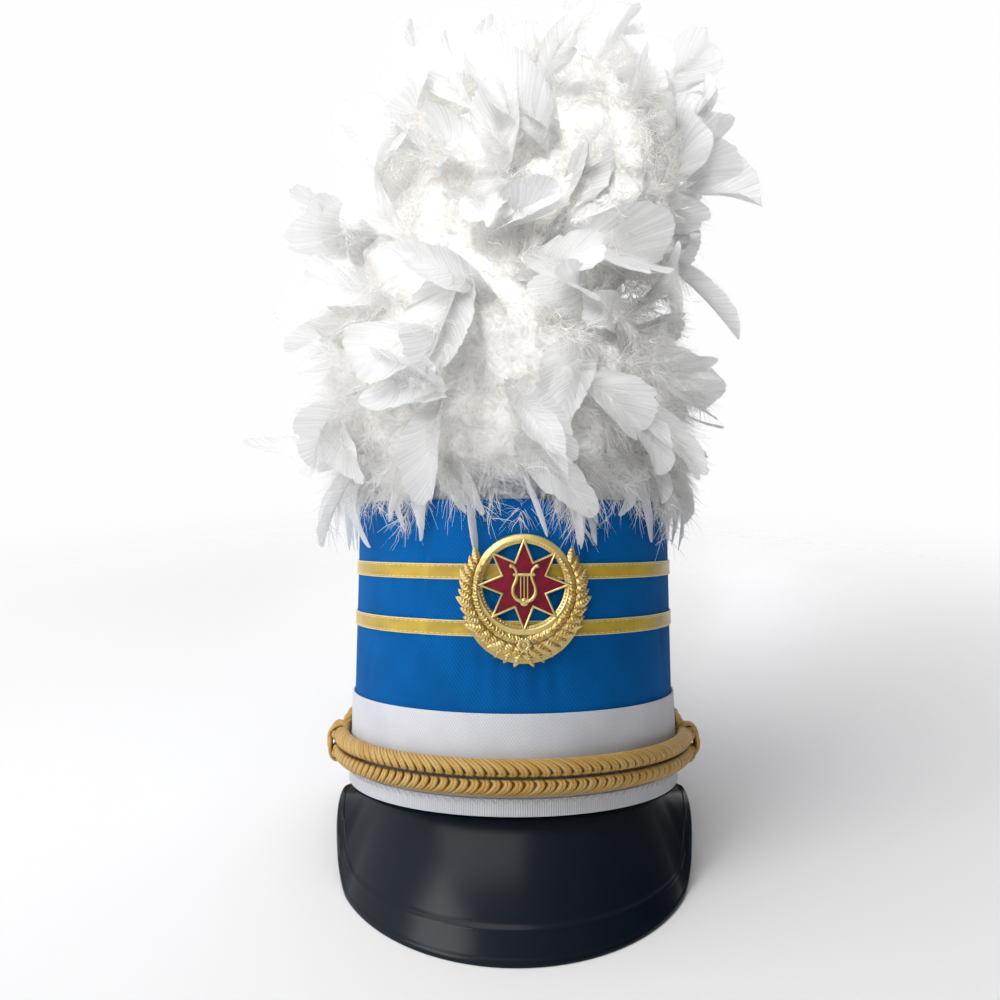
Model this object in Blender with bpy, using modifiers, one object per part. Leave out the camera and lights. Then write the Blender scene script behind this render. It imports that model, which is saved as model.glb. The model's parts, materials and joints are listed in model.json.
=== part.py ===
"""Marching band hat: an oval crown with ribbon stripes, a white band, a moulded peak, a gold cap cord, a
pierced badge and a feather plume.

Lengths are in metres. Every piece is modelled in the hat's own frame: +Z up the crown's axis, the front
towards -Y, the wearer's left towards +X, and the rim at z = 0. The finished hat is then leaned back until it
rests as it does on a table, on the lip of its peak and the back of its rim, with the origin below the middle of
its bounding box.
"""

import math
from collections import namedtuple

import bmesh
import bpy
from mathutils import Matrix, Vector

# Crown: a stiff oval shell covered with cloth, whose opening is 575 mm round
HEAD_HALF_WIDTH = 0.0852
HEAD_HALF_LENGTH = 0.0975
CROWN_WALL = 0.0030
CROWN_HEIGHT = 0.1500
CROWN_TAPER = 0.0030  # what each half axis loses between the rim and the top
CROWN_EDGE = 0.0030  # bevel between the wall and the top
OVAL_STEPS = 40
CLEARANCE = 0.0003  # the gap between pieces that touch
TURNED_SIDES = 12

# Soft dents in the crown's cloth. turn and spread are degrees round from the front, height and tall are
# shares of CROWN_HEIGHT, and depth is a share of FOLD_DEPTH
Fold = namedtuple("Fold", "turn height spread tall depth")
FOLD_DEPTH = 0.0014
FOLD_EASE = 0.08  # how soon the dents begin above the band, as a share of CROWN_HEIGHT
FOLDS = (
    Fold(-37, 0.82, 9, 0.20, 1.0),
    Fold(-12, 0.42, 8, 0.10, 0.7),
    Fold(8, 0.43, 8, 0.12, 0.8),
    Fold(31, 0.88, 10, 0.12, 0.6),
    Fold(-105, 0.70, 14, 0.22, 0.7),
    Fold(118, 0.66, 15, 0.24, 0.7),
    Fold(166, 0.60, 12, 0.30, 0.6),
)

# White band round the foot of the crown, with a grosgrain ribbon sewn along its lower edge
BAND_HEIGHT = 0.0480
BAND_THICK = 0.0012
RIBBON_HEIGHT = 0.0085
RIBBON_THICK = 0.0007

# Two gold ribbon stripes
STRIPE_HEIGHTS = (0.0880, 0.1150)  # middles above the rim
STRIPE_WIDTH = 0.0076
STRIPE_THICK = 0.0006

# Peak: a moulded sheet let into the crown's wall behind the band
PEAK_THICK = 0.0015
PEAK_FLANGE = 0.0120  # height of the strip sewn to the crown
FLANGE_SINK = 0.0005  # the strip's outer face below the crown's
PEAK_LEAD = 0.0012  # how far the sheet runs straight down below the rim
PEAK_HALF_TURN = 76.0  # degrees from the front to each horn
PEAK_REACH = 0.1420  # lip in front of the crown's axis
PEAK_DROP = 0.0546  # lip below the rim, at the front
LIP_CENTRE = 0.0400  # centre of the lip's oval, in front of the axis
LIP_HALF_WIDTH = 0.0900
LIP_HALF_TURN = 96.0  # degrees that the lip's oval runs to each side
PEAK_BULGE = 0.0025  # convex bow between rim and lip
BORDER_RISE = 0.0005  # step of the raised border
PEAK_STEPS = 22

# Height of the lip along the peak: across is the share of the way from the middle to a horn, and drop the
# share of the way from the rim down to the plane that the hat rests on
Lip = namedtuple("Lip", "across drop")
LIP_LINE = (Lip(0.0, 1.0), Lip(0.64, 1.0), Lip(0.75, 0.82), Lip(0.82, 0.54), Lip(0.90, 0.29), Lip(1.0, 0.08))

# Rows of the peak from rim to lip: run is the share of the way, and border is 1 on the raised border
PeakRow = namedtuple("PeakRow", "run border")
PEAK_ROWS = (PeakRow(0.25, 0), PeakRow(0.50, 0), PeakRow(0.765, 0), PeakRow(0.79, 1), PeakRow(1.0, 1))

# Cap cord: one loop of plaited cord, drawn through a slide at each side and hooked on a button behind it
CORD_HEIGHT = 0.0192
CORD_RADIUS = 0.0042
STRAND_GAP = 0.0004  # between the two strands
SLIDE_TURN = 84.0  # degrees from the front to each slide
SLIDE_LENGTH = 0.0130
SLIDE_WALL = 0.0016
SLIDE_PLAY = 0.0007  # between a slide and the strands that run through it
SLIDE_SHOULDER = 0.8  # thickness at its ends, as a share of its middle's
SLIDE_SIDES = 12
LOOP_RUN = 0.0240  # from the slide's middle to the button
LOOP_RADIUS = 0.0100
LOOP_RISE = 0.0030  # the button's height above the cord
LOOP_THIN = 0.6  # thickness of the loops, as a share of the cord's
BUTTON_STEM = 0.0062
BUTTON_RADIUS = 0.0085
BUTTON_DOME = 0.0030
DomePoint = namedtuple("DomePoint", "out up")  # shares of BUTTON_RADIUS and BUTTON_DOME
BUTTON_CURVE = (DomePoint(0, 1), DomePoint(0.55, 0.85), DomePoint(0.90, 0.45), DomePoint(1, 0))
CORD_STEP_TURN = 8.0  # degrees between the points of the cord's front
LOOP_POINTS = 9

# Badge: a pierced plate of a ring, an eight-pointed enamelled star, a lyre and two laurel sprays
BADGE_TURN = 2.6  # degrees that the badge sits to the wearer's left of the middle
BADGE_HEIGHT = 0.1090  # the ring's middle above the rim
BADGE_PLATE = 0.0010
RING_RADIUS = 0.0242
RING_WIDTH = 0.0046
RING_RISE = 0.0022
RING_SHOULDER = 0.6  # height of the ring's edges, as a share of its middle's
RING_SIDES = 28
STAR_POINTS = 8
STAR_RADIUS = 0.0224
STAR_VALLEY = 0.0118
STAR_RISE = 0.0028
STAR_BORDER = 0.0009
STAR_FLOOR = 0.0009
ENAMEL_SINK = 0.0010  # the enamel's edge below the star's rim
ENAMEL_RISE = 0.0006  # the enamel's middle above its edge
LYRE_HEIGHT = 0.0190
LYRE_WIRE = 0.0009
LyrePoint = namedtuple("LyrePoint", "across up")  # shares of half of LYRE_HEIGHT
LYRE_ARM = (
    LyrePoint(0.00, -0.86),
    LyrePoint(0.36, -0.76),
    LyrePoint(0.57, -0.46),
    LyrePoint(0.56, -0.10),
    LyrePoint(0.41, 0.22),
    LyrePoint(0.35, 0.50),
    LyrePoint(0.43, 0.78),
    LyrePoint(0.62, 0.96),
)
LYRE_BAR = LyrePoint(0.52, 0.50)
LYRE_STRINGS = (-0.17, 0.0, 0.17)
LYRE_FOOT = 0.0020
STRING_WIRE = 0.0004
LYRE_POST = 0.0011
POST_SIDES = 8
LEAF_LENGTH = 0.0118
LEAF_WIDTH = 0.0060
LEAF_RISE = 0.0026
LEAF_TIP_RISE = 0.0005
LeafRow = namedtuple("LeafRow", "run wide high")  # shares of the leaf's length, width and rise
LEAF_ROWS = (LeafRow(0, 0.15, 0.35), LeafRow(0.40, 1, 1), LeafRow(0.75, 0.75, 0.80))
LEAF_PAIRS = 5
LEAF_SPREADS = (30, -8)  # degrees that the outer and the inner leaf of a pair turn from the spray's line
LEAF_STAGGER = 0.10  # how far in the inner leaf starts, as a share of the spray's radius
LEAF_SHRINK = 0.18  # what the last pair has lost
LEAF_STEP = 0.0002  # leaves lie this much higher by turns
SPRAY_START = 16.0  # degrees from straight down
SPRAY_END = 112.0
SPRAY_FOOT = 0.0285  # radius of the sprays at their tie
SPRAY_TIP = 0.0238
TIE_RADIUS = 0.0034
TIE_RISE = 0.0030
POST_RADIUS = 0.0016
POST_HEAD = 0.0060
POST_HEAD_THICK = 0.0015

# Plume: a standing heap of feathers that leans to the wearer's left near its top
PLUME_HEIGHT = 0.2690
PLUME_HALF_WIDTH = 0.1060
PLUME_HALF_DEPTH = 0.1000
PLUME_SIDES = 16
QUILL_THICK = 0.0045  # thickness of a feather lock at its root
LockRow = namedtuple("LockRow", "run wide thick")  # shares of a lock's length, width and QUILL_THICK
LOCK_ROWS = (LockRow(0, 0.45, 1), LockRow(0.30, 0.85, 0.85), LockRow(0.58, 1, 0.7), LockRow(0.82, 0.68, 0.6))
LOCK_TWIST = 0.35  # how far the long locks turn their faces up
HEM_GAP = 0.0030  # from the crown's wall to the locks that hang over its edge

# Heap of down under the locks. rise is a share of PLUME_HEIGHT, across and wide of PLUME_HALF_WIDTH, deep of
# PLUME_HALF_DEPTH
Heap = namedtuple("Heap", "rise across wide deep")
HEAPS = (
    Heap(0.00, 0.00, 0.74, 0.88),
    Heap(0.06, -0.01, 0.84, 0.94),
    Heap(0.18, -0.03, 0.88, 0.93),
    Heap(0.31, -0.08, 0.87, 0.90),
    Heap(0.42, -0.12, 0.80, 0.82),
    Heap(0.50, -0.08, 0.80, 0.80),
    Heap(0.60, 0.07, 0.80, 0.80),
    Heap(0.70, 0.16, 0.74, 0.76),
    Heap(0.80, 0.18, 0.63, 0.66),
    Heap(0.88, 0.19, 0.46, 0.48),
    Heap(0.93, 0.22, 0.22, 0.22),
)
HEAP_ROWS = 12

# Mounds and hollows of the heap. turn and spread are degrees round from the front, rise and tall are shares
# of PLUME_HEIGHT, and swell is a share of MOUND_SWELL
Mound = namedtuple("Mound", "turn rise spread tall swell")
MOUND_SWELL = 0.0140
MOUNDS = (
    Mound(-18, 0.30, 26, 0.10, 0.9),
    Mound(38, 0.26, 24, 0.09, 0.8),
    Mound(-62, 0.16, 22, 0.08, 0.7),
    Mound(12, 0.50, 24, 0.07, -0.8),
    Mound(-30, 0.68, 28, 0.10, 0.8),
    Mound(46, 0.60, 26, 0.10, 0.7),
    Mound(95, 0.40, 30, 0.08, -0.7),
    Mound(-100, 0.62, 30, 0.08, -0.7),
    Mound(135, 0.22, 30, 0.11, 0.8),
    Mound(168, 0.47, 28, 0.08, -0.8),
    Mound(-140, 0.32, 28, 0.11, 0.8),
    Mound(150, 0.70, 30, 0.10, 0.8),
    Mound(-155, 0.78, 26, 0.08, -0.5),
)

# Long locks that break the outline. Each column is a share: x of PLUME_HALF_WIDTH, y of PLUME_HALF_DEPTH, z
# and width of PLUME_HEIGHT. sag is how far the middle bends down, as a share of the lock's length
Lock = namedtuple("Lock", "x0 y0 z0 x1 y1 z1 width sag")
SHOW_LOCKS = (
    Lock(-0.55, -0.10, 0.12, -1.38, -0.22, 0.12, 0.085, 0.10),
    Lock(-0.50, 0.00, 0.47, -1.08, -0.10, 0.60, 0.125, 0.04),
    Lock(-0.45, -0.20, 0.38, -1.13, -0.16, 0.31, 0.160, -0.16),
    Lock(-0.55, 0.10, 0.24, -1.02, 0.15, 0.13, 0.140, -0.14),
    Lock(-0.25, 0.15, 0.62, -0.78, 0.12, 0.70, 0.180, -0.30),
    Lock(-0.10, 0.00, 0.76, -0.48, -0.05, 0.88, 0.170, -0.22),
    Lock(0.10, 0.00, 0.80, 0.06, 0.05, 0.99, 0.110, -0.10),
    Lock(0.35, -0.05, 0.80, 0.61, -0.05, 1.00, 0.160, -0.12),
    Lock(0.50, 0.10, 0.70, 0.99, 0.15, 0.85, 0.150, -0.14),
    Lock(0.55, 0.10, 0.64, 1.38, 0.25, 0.655, 0.130, -0.20),
    Lock(0.60, 0.10, 0.55, 1.24, 0.20, 0.355, 0.085, -0.22),
    Lock(0.50, -0.15, 0.34, 1.08, -0.20, 0.25, 0.130, -0.12),
    Lock(0.50, 0.00, 0.20, 0.99, 0.00, 0.10, 0.110, -0.15),
    Lock(-0.20, -0.60, 0.47, -0.36, -1.06, 0.20, 0.200, -0.26),
    Lock(0.45, -0.55, 0.36, 0.12, -1.12, 0.08, 0.140, -0.22),
    Lock(0.30, -0.50, 0.66, -0.22, -0.96, 0.50, 0.130, -0.20),
    Lock(0.10, 0.60, 0.70, 0.20, 1.04, 0.82, 0.130, -0.20),
    Lock(-0.10, 0.60, 0.38, 0.10, 1.14, 0.28, 0.150, -0.24),
)

# Rings of shorter locks that cover the heap. rise and turn place the first lock, reach is a share of
# LOCK_REACH, width of PLUME_HEIGHT, lean is degrees from the heap's face outwards, and roll turns the locks
# from upwards towards sideways
LockRing = namedtuple("LockRing", "rise count turn reach width lean roll")
LOCK_REACH = 0.0560
LOCK_RINGS = (
    LockRing(0.10, 10, 12, 0.85, 0.120, 12, 158),
    LockRing(0.23, 11, 28, 1.00, 0.135, 12, 125),
    LockRing(0.37, 10, 5, 1.00, 0.140, 13, -70),
    LockRing(0.50, 10, 25, 1.00, 0.140, 13, 50),
    LockRing(0.64, 8, 10, 0.95, 0.130, 14, -35),
    LockRing(0.76, 7, 40, 0.80, 0.125, 20, 25),
)
ROOT_DEPTH = 0.28  # how deep a lock's root sits in the heap, as a share of its reach
CURL_OUT = 0.24  # how far its middle stands off, as a share of its reach
CURL_ALONG = 0.34
SWAY = 9.5  # degrees that the locks of a ring stray from its row
ROLL_SWAY = 2.5  # the same for their roll, as a multiple
REACH_SWAY = 0.15

# Locks that hang over the crown's edge, all the way round: turn is degrees from the front, hang the share of
# HEM_HANG that a lock drops below the crown's top, and width a share of PLUME_HEIGHT
HemLock = namedtuple("HemLock", "turn hang width")
HEM_HANG = 0.0240
HEM_BEND_OUT = 0.0090  # how far out and up their bend is drawn from the crown's edge
HEM_BEND_UP = 0.0200
HEM_RISE = 0.10  # where their roots sit, as a share of PLUME_HEIGHT
HEM_ROOT = 0.80  # and as a share of the heap's half width there
HEM_LOCKS = (
    HemLock(-72, 0.70, 0.080),
    HemLock(-46, 0.95, 0.070),
    HemLock(-24, 1.00, 0.060),
    HemLock(-3, 0.45, 0.080),
    HemLock(22, 0.40, 0.085),
    HemLock(48, 0.90, 0.062),
    HemLock(78, 0.85, 0.075),
    HemLock(108, 0.60, 0.085),
    HemLock(138, 0.80, 0.075),
    HemLock(168, 0.60, 0.085),
    HemLock(-160, 0.85, 0.075),
    HemLock(-130, 0.60, 0.085),
    HemLock(-100, 0.80, 0.075),
)

# What follows from the sizes above
BACK_FACE = HEAD_HALF_LENGTH + CROWN_WALL + 2 * CLEARANCE + BAND_THICK + RIBBON_THICK
BACK_REACH = BACK_FACE * math.cos(math.pi / OVAL_STEPS)  # the rim rests on the ends of its back facet
REST_TILT = math.atan2(PEAK_DROP, PEAK_REACH + BACK_REACH)
GOLDEN_ANGLE = math.pi * (3 - math.sqrt(5))
BAND_FACE = CLEARANCE + BAND_THICK  # the band's outer face, from the crown's wall
STRIPE_FACE = CLEARANCE + STRIPE_THICK
STRAND_SHIFT = CORD_RADIUS + STRAND_GAP / 2
CORD_FACE = BAND_FACE + CLEARANCE + CORD_RADIUS
SLIDE_FACE = CORD_FACE + SLIDE_WALL + SLIDE_PLAY
LOOP_FACE = BAND_FACE + CLEARANCE + CORD_RADIUS * LOOP_THIN
WALL_LEAN = math.atan2(CROWN_TAPER, CROWN_HEIGHT)
LYRE_LIFT = STAR_RISE - ENAMEL_SINK + ENAMEL_RISE + CLEARANCE + LYRE_WIRE  # centre line off the badge's back


def material(name, colour, roughness, metallic=0.0):
    """A Principled material with a linear colour."""
    made = bpy.data.materials.new(name)
    made.use_nodes = True
    shader = made.node_tree.nodes["Principled BSDF"]
    shader.inputs["Base Color"].default_value = (*colour, 1.0)
    shader.inputs["Roughness"].default_value = roughness
    shader.inputs["Metallic"].default_value = metallic
    return made


def clear_scene():
    """Empties the startup scene."""
    for obj in list(bpy.data.objects):
        bpy.data.objects.remove(obj)


def add_object(name, mesh, group, finish=None):
    """Links a new object holding the mesh, in a collection, with an optional material."""
    obj = bpy.data.objects.new(name, mesh)
    group.objects.link(obj)
    if finish:
        mesh.materials.clear()
        mesh.materials.append(finish)
    return obj


def mesh_from(name, bm):
    """Turns a bmesh into a mesh and frees it."""
    mesh = bpy.data.meshes.new(name)
    bm.to_mesh(mesh)
    bm.free()
    return mesh


def sharpen(mesh, degrees=35):
    """Smooth shading with sharp edges where faces meet at more than the angle."""
    mesh.shade_smooth()
    mesh.set_sharp_from_angle(angle=math.radians(degrees))


def smooth_step(share):
    """Eases a share between 0 and 1."""
    share = min(1.0, max(0.0, share))
    return share * share * (3 - 2 * share)


def read_table(rows, key, column, at):
    """The value of a column at a key, eased between the rows of a table."""
    for low, high in zip(rows, rows[1:]):
        start, end = getattr(low, key), getattr(high, key)
        if at <= end:
            share = smooth_step((at - start) / (end - start))
            return getattr(low, column) * (1 - share) + getattr(high, column) * share
    return getattr(rows[-1], column)


def turn_gap(a, b):
    """The smallest difference between two angles in degrees."""
    return (a - b + 180) % 360 - 180


def dent(turn, height):
    """How far the cloth is pushed in at a turn in degrees and a height."""
    total = 0.0
    for fold in FOLDS:
        aside = turn_gap(turn, fold.turn) / fold.spread
        above = (height / CROWN_HEIGHT - fold.height) / fold.tall
        total += fold.depth * math.exp(-aside * aside - above * above)
    return FOLD_DEPTH * total * smooth_step((height - BAND_HEIGHT) / (CROWN_HEIGHT * FOLD_EASE))


def wall_normal(turn):
    """Horizontal direction out of the crown's wall, at a turn in degrees from the front."""
    angle = math.radians(turn)
    half_width = HEAD_HALF_WIDTH + CROWN_WALL
    half_length = HEAD_HALF_LENGTH + CROWN_WALL
    return Vector((half_length * math.sin(angle), -half_width * math.cos(angle), 0)).normalized()


def wall_tangent(turn):
    """Horizontal direction along the crown's wall, towards growing turns."""
    return Vector((0, 0, 1)).cross(wall_normal(turn))


def wall_point(turn, height, outward=0.0):
    """A point at a distance out from the crown's outer face. Dents reach through half of the wall."""
    angle = math.radians(turn)
    shrink = CROWN_WALL - CROWN_TAPER * height / CROWN_HEIGHT
    on_oval = Vector(
        (
            (HEAD_HALF_WIDTH + shrink) * math.sin(angle),
            -(HEAD_HALF_LENGTH + shrink) * math.cos(angle),
            height,
        )
    )
    depth = dent(turn, height) if outward > -CROWN_WALL / 2 else 0.0
    return on_oval + wall_normal(turn) * (outward - depth)


def loft(name, rows, round_rows=True, end_faces=(), tip=None, ring=False):
    """A mesh that joins each row of points to the next.

    end_faces names the rows that get a flat face, tip is a point that closes the last row in a fan, and a
    ring joins its last row to its first.
    """
    bm = bmesh.new()
    grid = [[bm.verts.new(point) for point in row] for row in rows]
    if ring:
        grid.append(grid[0])
    count = len(rows[0])
    for lower, upper in zip(grid, grid[1:]):
        for i in range(count if round_rows else count - 1):
            j = (i + 1) % count
            bm.faces.new((lower[i], lower[j], upper[j], upper[i]))
    for index in end_faces:
        bm.faces.new(grid[index] if index else list(reversed(grid[0])))
    if tip:
        point = bm.verts.new(tip)
        for i in range(count):
            bm.faces.new((grid[-1][i], grid[-1][(i + 1) % count], point))
    if tip or ring or len(end_faces) == 2:
        bmesh.ops.recalc_face_normals(bm, faces=bm.faces)
    return mesh_from(name, bm)


def round_turns():
    """Turns in degrees, evenly all the way round, with the middle of a facet at the front and the back."""
    return [360.0 * (i + 0.5) / OVAL_STEPS for i in range(OVAL_STEPS)]


def thicken(obj, thickness, direction):
    """Gives an open surface a thickness, outwards for direction 1 and inwards for -1."""
    solid = obj.modifiers.new("thickness", "SOLIDIFY")
    solid.thickness = thickness
    solid.offset = direction
    solid.use_even_offset = True
    return solid


def cut(obj, cutter):
    """Takes a cutter out of an object."""
    tool = obj.modifiers.new("cut", "BOOLEAN")
    tool.operation = "DIFFERENCE"
    tool.solver = "EXACT"
    tool.object = cutter
    cutter.hide_render = True
    cutter.display_type = "WIRE"


def fuse(obj, group):
    """Joins every object of a collection to an object, as one body."""
    tool = obj.modifiers.new("fuse", "BOOLEAN")
    tool.operation = "UNION"
    tool.solver = "EXACT"
    tool.operand_type = "COLLECTION"
    tool.collection = group
    for helper in group.objects:
        helper.hide_render = True
        helper.display_type = "WIRE"


def mesh_of_curve(name, line, radius, resolution=1, closed=False, shares=None):
    """A mesh tube along a line of points, with welded ends. shares are its radius at each point."""
    data = bpy.data.curves.new(name, "CURVE")
    data.dimensions = "3D"
    data.bevel_depth = radius
    data.bevel_resolution = resolution
    data.use_fill_caps = not closed
    spline = data.splines.new("POLY")
    spline.points.add(len(line) - 1)
    for i, place in enumerate(line):
        spline.points[i].co = (*place, 1)
        spline.points[i].radius = shares[i] if shares else 1.0
    spline.use_cyclic_u = closed
    holder = bpy.data.objects.new(name, data)
    bpy.context.scene.collection.objects.link(holder)
    graph = bpy.context.evaluated_depsgraph_get()
    mesh = bpy.data.meshes.new_from_object(holder.evaluated_get(graph))
    bpy.data.objects.remove(holder)
    bm = bmesh.new()
    bm.from_mesh(mesh)
    bmesh.ops.remove_doubles(bm, verts=bm.verts, dist=radius / 100)
    bm.to_mesh(mesh)
    bm.free()
    return mesh


def stripe_edges():
    """Heights of the lower and upper edge of each stripe."""
    return [middle + side * STRIPE_WIDTH / 2 for middle in STRIPE_HEIGHTS for side in (-1, 1)]


def make_crown(parts, cutters, finish):
    """The shell: an oval wall with a closed top, a seat for the peak's flange and a hole for the post."""
    shoulder = CROWN_HEIGHT - CROWN_EDGE
    inside = [(CROWN_HEIGHT - CROWN_WALL, -CROWN_WALL), (0, -CROWN_WALL)]
    outside = [(height, 0) for height in (0, BAND_HEIGHT, *stripe_edges(), shoulder)]
    section = [*inside, *outside, (CROWN_HEIGHT, -CROWN_EDGE)]
    rows = [[wall_point(turn, height, out) for turn in round_turns()] for height, out in section]
    mesh = loft("crown", rows, end_faces=(0, -1))
    crown = add_object("crown", mesh, parts, finish)
    cut(crown, peak_seat(cutters))
    cut(crown, post_hole(cutters))
    sharpen(mesh)
    return crown


def peak_seat(cutters):
    """The cutter for the recess in the crown's wall that takes the peak's flange."""
    beyond = CROWN_WALL
    side = PEAK_HALF_TURN + math.degrees(CLEARANCE / HEAD_HALF_LENGTH)
    turns = [side * (2 * i / PEAK_STEPS - 1) for i in range(PEAK_STEPS + 1)]
    heights = (-beyond, PEAK_FLANGE + CLEARANCE)
    depth = FLANGE_SINK + PEAK_THICK + CLEARANCE
    rows = [[wall_point(turn, height, -depth) for turn in turns] for height in heights]
    seat = add_object("peak_seat", loft("peak_seat", rows, round_rows=False), cutters)
    thicken(seat, depth + beyond, 1)
    return seat


def post_hole(cutters):
    """The cutter for the hole that the badge's post goes through."""
    bm = bmesh.new()
    bmesh.ops.create_cone(
        bm,
        cap_ends=True,
        segments=TURNED_SIDES,
        radius1=POST_RADIUS + CLEARANCE,
        radius2=POST_RADIUS + CLEARANCE,
        depth=6 * CROWN_WALL,
    )
    hole = add_object("post_hole", mesh_from("post_hole", bm), cutters)
    hole.matrix_world = badge_frame()
    return hole


def make_oval_strip(name, low, high, face, thickness, parts, finish):
    """A strip of cloth or ribbon round the crown, standing a distance off the wall's face."""
    rows = [[wall_point(turn, height, face) for turn in round_turns()] for height in (low, high)]
    mesh = loft(name, rows)
    strip = add_object(name, mesh, parts, finish)
    thicken(strip, thickness, 1)
    sharpen(mesh)
    return strip


def lip_point(across):
    """The peak's lip, for a share from -1 at the wearer's right horn to 1 at the left one."""
    angle = math.radians(LIP_HALF_TURN * across)
    forward = LIP_CENTRE + (PEAK_REACH - LIP_CENTRE) * math.cos(angle)
    to_floor = (BACK_REACH + forward) * math.tan(REST_TILT)
    drop = read_table(LIP_LINE, "across", "drop", abs(across))
    return Vector((LIP_HALF_WIDTH * math.sin(angle), -forward, -to_floor * drop))


def peak_point(across, run, lift):
    """A point of the peak's underside, a share of the way from rim to lip."""
    root = wall_point(PEAK_HALF_TURN * across, 0, -FLANGE_SINK - PEAK_THICK) - Vector((0, 0, PEAK_LEAD))
    lip = lip_point(across)
    along = lip - root
    level = Vector((1, 0, 0)) if abs(across) < 1e-6 else wall_tangent(PEAK_HALF_TURN * across)
    out = level.cross(-along).normalized()
    bow = PEAK_BULGE * 4 * run * (1 - run) * (1 - across * across)
    return root + along * run + out * (bow + lift * (1 - across**8))


def make_peak(parts, finish):
    """The moulded peak: a raised border along the lip, and a flange that goes up behind the band."""
    shares = [2 * i / PEAK_STEPS - 1 for i in range(PEAK_STEPS + 1)]
    rows = [
        [peak_point(share, row.run, BORDER_RISE * row.border) for share in shares]
        for row in reversed(PEAK_ROWS)
    ]
    rows.append([peak_point(share, 0, 0) for share in shares])
    sink = FLANGE_SINK + PEAK_THICK
    rows.append([wall_point(PEAK_HALF_TURN * share, PEAK_FLANGE, -sink) for share in shares])
    mesh = loft("peak", rows, round_rows=False)
    peak = add_object("peak", mesh, parts, finish)
    thicken(peak, PEAK_THICK, 1)
    sharpen(mesh)
    return peak


def cord_place(side, along, above):
    """A point of the cord's centre line past a slide: along the wall from the slide, above CORD_HEIGHT."""
    turn = SLIDE_TURN + math.degrees(along / (HEAD_HALF_LENGTH + CROWN_WALL + CORD_FACE))
    share = smooth_step((abs(along) - SLIDE_LENGTH / 2) / SLIDE_LENGTH)
    rest = LOOP_FACE if along > 0 else CORD_FACE
    return wall_point(side * turn, CORD_HEIGHT + above, SLIDE_FACE + (rest - SLIDE_FACE) * share)


def strand_heights(along):
    """How far a strand stands off the loop's middle, and the middle above CORD_HEIGHT, past a slide."""
    share = smooth_step((along - SLIDE_LENGTH / 2) / (LOOP_RUN - SLIDE_LENGTH / 2))
    return STRAND_SHIFT + (LOOP_RADIUS - STRAND_SHIFT) * share, LOOP_RISE * share


def loop_shares():
    """The cord's thickness at each point of an end loop, which is plain yarn and thinner than the plait."""
    run = [1 - (1 - LOOP_THIN) * smooth_step(i - 2) for i in range(5)]
    return run + [LOOP_THIN] * LOOP_POINTS + list(reversed(run))


def end_loop(side):
    """Points of the cord from one slide round the button and back, from the upper strand to the lower one."""
    out_run = [LOOP_RUN * i / 4 for i in range(-1, 4)]
    upper, lower = [], []
    for along in out_run:
        apart, middle = strand_heights(along)
        upper.append(cord_place(side, along, middle + apart))
        lower.append(cord_place(side, along, middle - apart))
    bend = []
    for i in range(LOOP_POINTS):
        angle = math.pi * (0.5 - i / (LOOP_POINTS - 1))
        bend.append(
            cord_place(
                side,
                LOOP_RUN + LOOP_RADIUS * math.cos(angle),
                LOOP_RISE + LOOP_RADIUS * math.sin(angle),
            )
        )
    return upper + bend + list(reversed(lower))


def make_cord(parts, finish):
    """The cap cord: two strands across the front, joined by a loop past each slide."""
    reach = SLIDE_TURN - math.degrees(SLIDE_LENGTH / HEAD_HALF_LENGTH)
    steps = round(2 * reach / CORD_STEP_TURN)
    turns = [reach * (2 * i / steps - 1) for i in range(steps + 1)]
    upper = [wall_point(turn, CORD_HEIGHT + STRAND_SHIFT, CORD_FACE) for turn in turns]
    lower = [wall_point(turn, CORD_HEIGHT - STRAND_SHIFT, CORD_FACE) for turn in reversed(turns)]
    loop, thin = end_loop(1), loop_shares()
    line = upper + loop + lower + list(reversed(end_loop(-1)))
    shares = [1.0] * len(upper) + thin + [1.0] * len(lower) + thin
    mesh = mesh_of_curve("cap_cord", line, CORD_RADIUS, resolution=2, closed=True, shares=shares)
    sharpen(mesh, 50)
    return add_object("cap_cord", mesh, parts, finish)


def make_slide(side, name, parts, finish):
    """A knotted slide: a ring round both strands with a bulged outer face."""
    centre = wall_point(side * SLIDE_TURN, CORD_HEIGHT, SLIDE_FACE)
    out = wall_normal(side * SLIDE_TURN)
    along = wall_tangent(side * SLIDE_TURN)
    rows = []
    half = SLIDE_LENGTH / 2
    inner, outer = SLIDE_PLAY, SLIDE_PLAY + SLIDE_WALL
    shoulder = outer * SLIDE_SHOULDER
    profile = (
        (-half, inner),
        (-half, shoulder),
        (-half / 2, outer),
        (half / 2, outer),
        (half, shoulder),
        (half, inner),
    )
    for shift, grow in profile:
        row = []
        for i in range(SLIDE_SIDES):
            angle = 2 * math.pi * (i + 0.5) / SLIDE_SIDES
            centre_up = math.copysign(STRAND_SHIFT, math.sin(angle))
            radius = (CORD_RADIUS + grow) / math.cos(math.pi / SLIDE_SIDES)
            up = centre_up + radius * math.sin(angle)
            row.append(centre + along * shift + out * (radius * math.cos(angle)) + Vector((0, 0, up)))
        rows.append(row)
    mesh = loft(name, rows, ring=True)
    sharpen(mesh)
    return add_object(name, mesh, parts, finish)


def turned(name, profile, steps, matrix, parts, finish):
    """A turned piece: a profile of (radius, height) pairs from top to foot, screwed round Z and placed."""
    mesh = bpy.data.meshes.new(name)
    points = [(radius, 0, height) for radius, height in profile]
    mesh.from_pydata(points, [(i, i + 1) for i in range(len(points) - 1)], [])
    obj = add_object(name, mesh, parts, finish)
    screw = obj.modifiers.new("turn", "SCREW")
    screw.steps = steps
    screw.render_steps = steps
    screw.use_merge_vertices = True
    screw.merge_threshold = 0.00005
    screw.use_smooth_shade = True
    obj.matrix_world = matrix
    return obj


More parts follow.
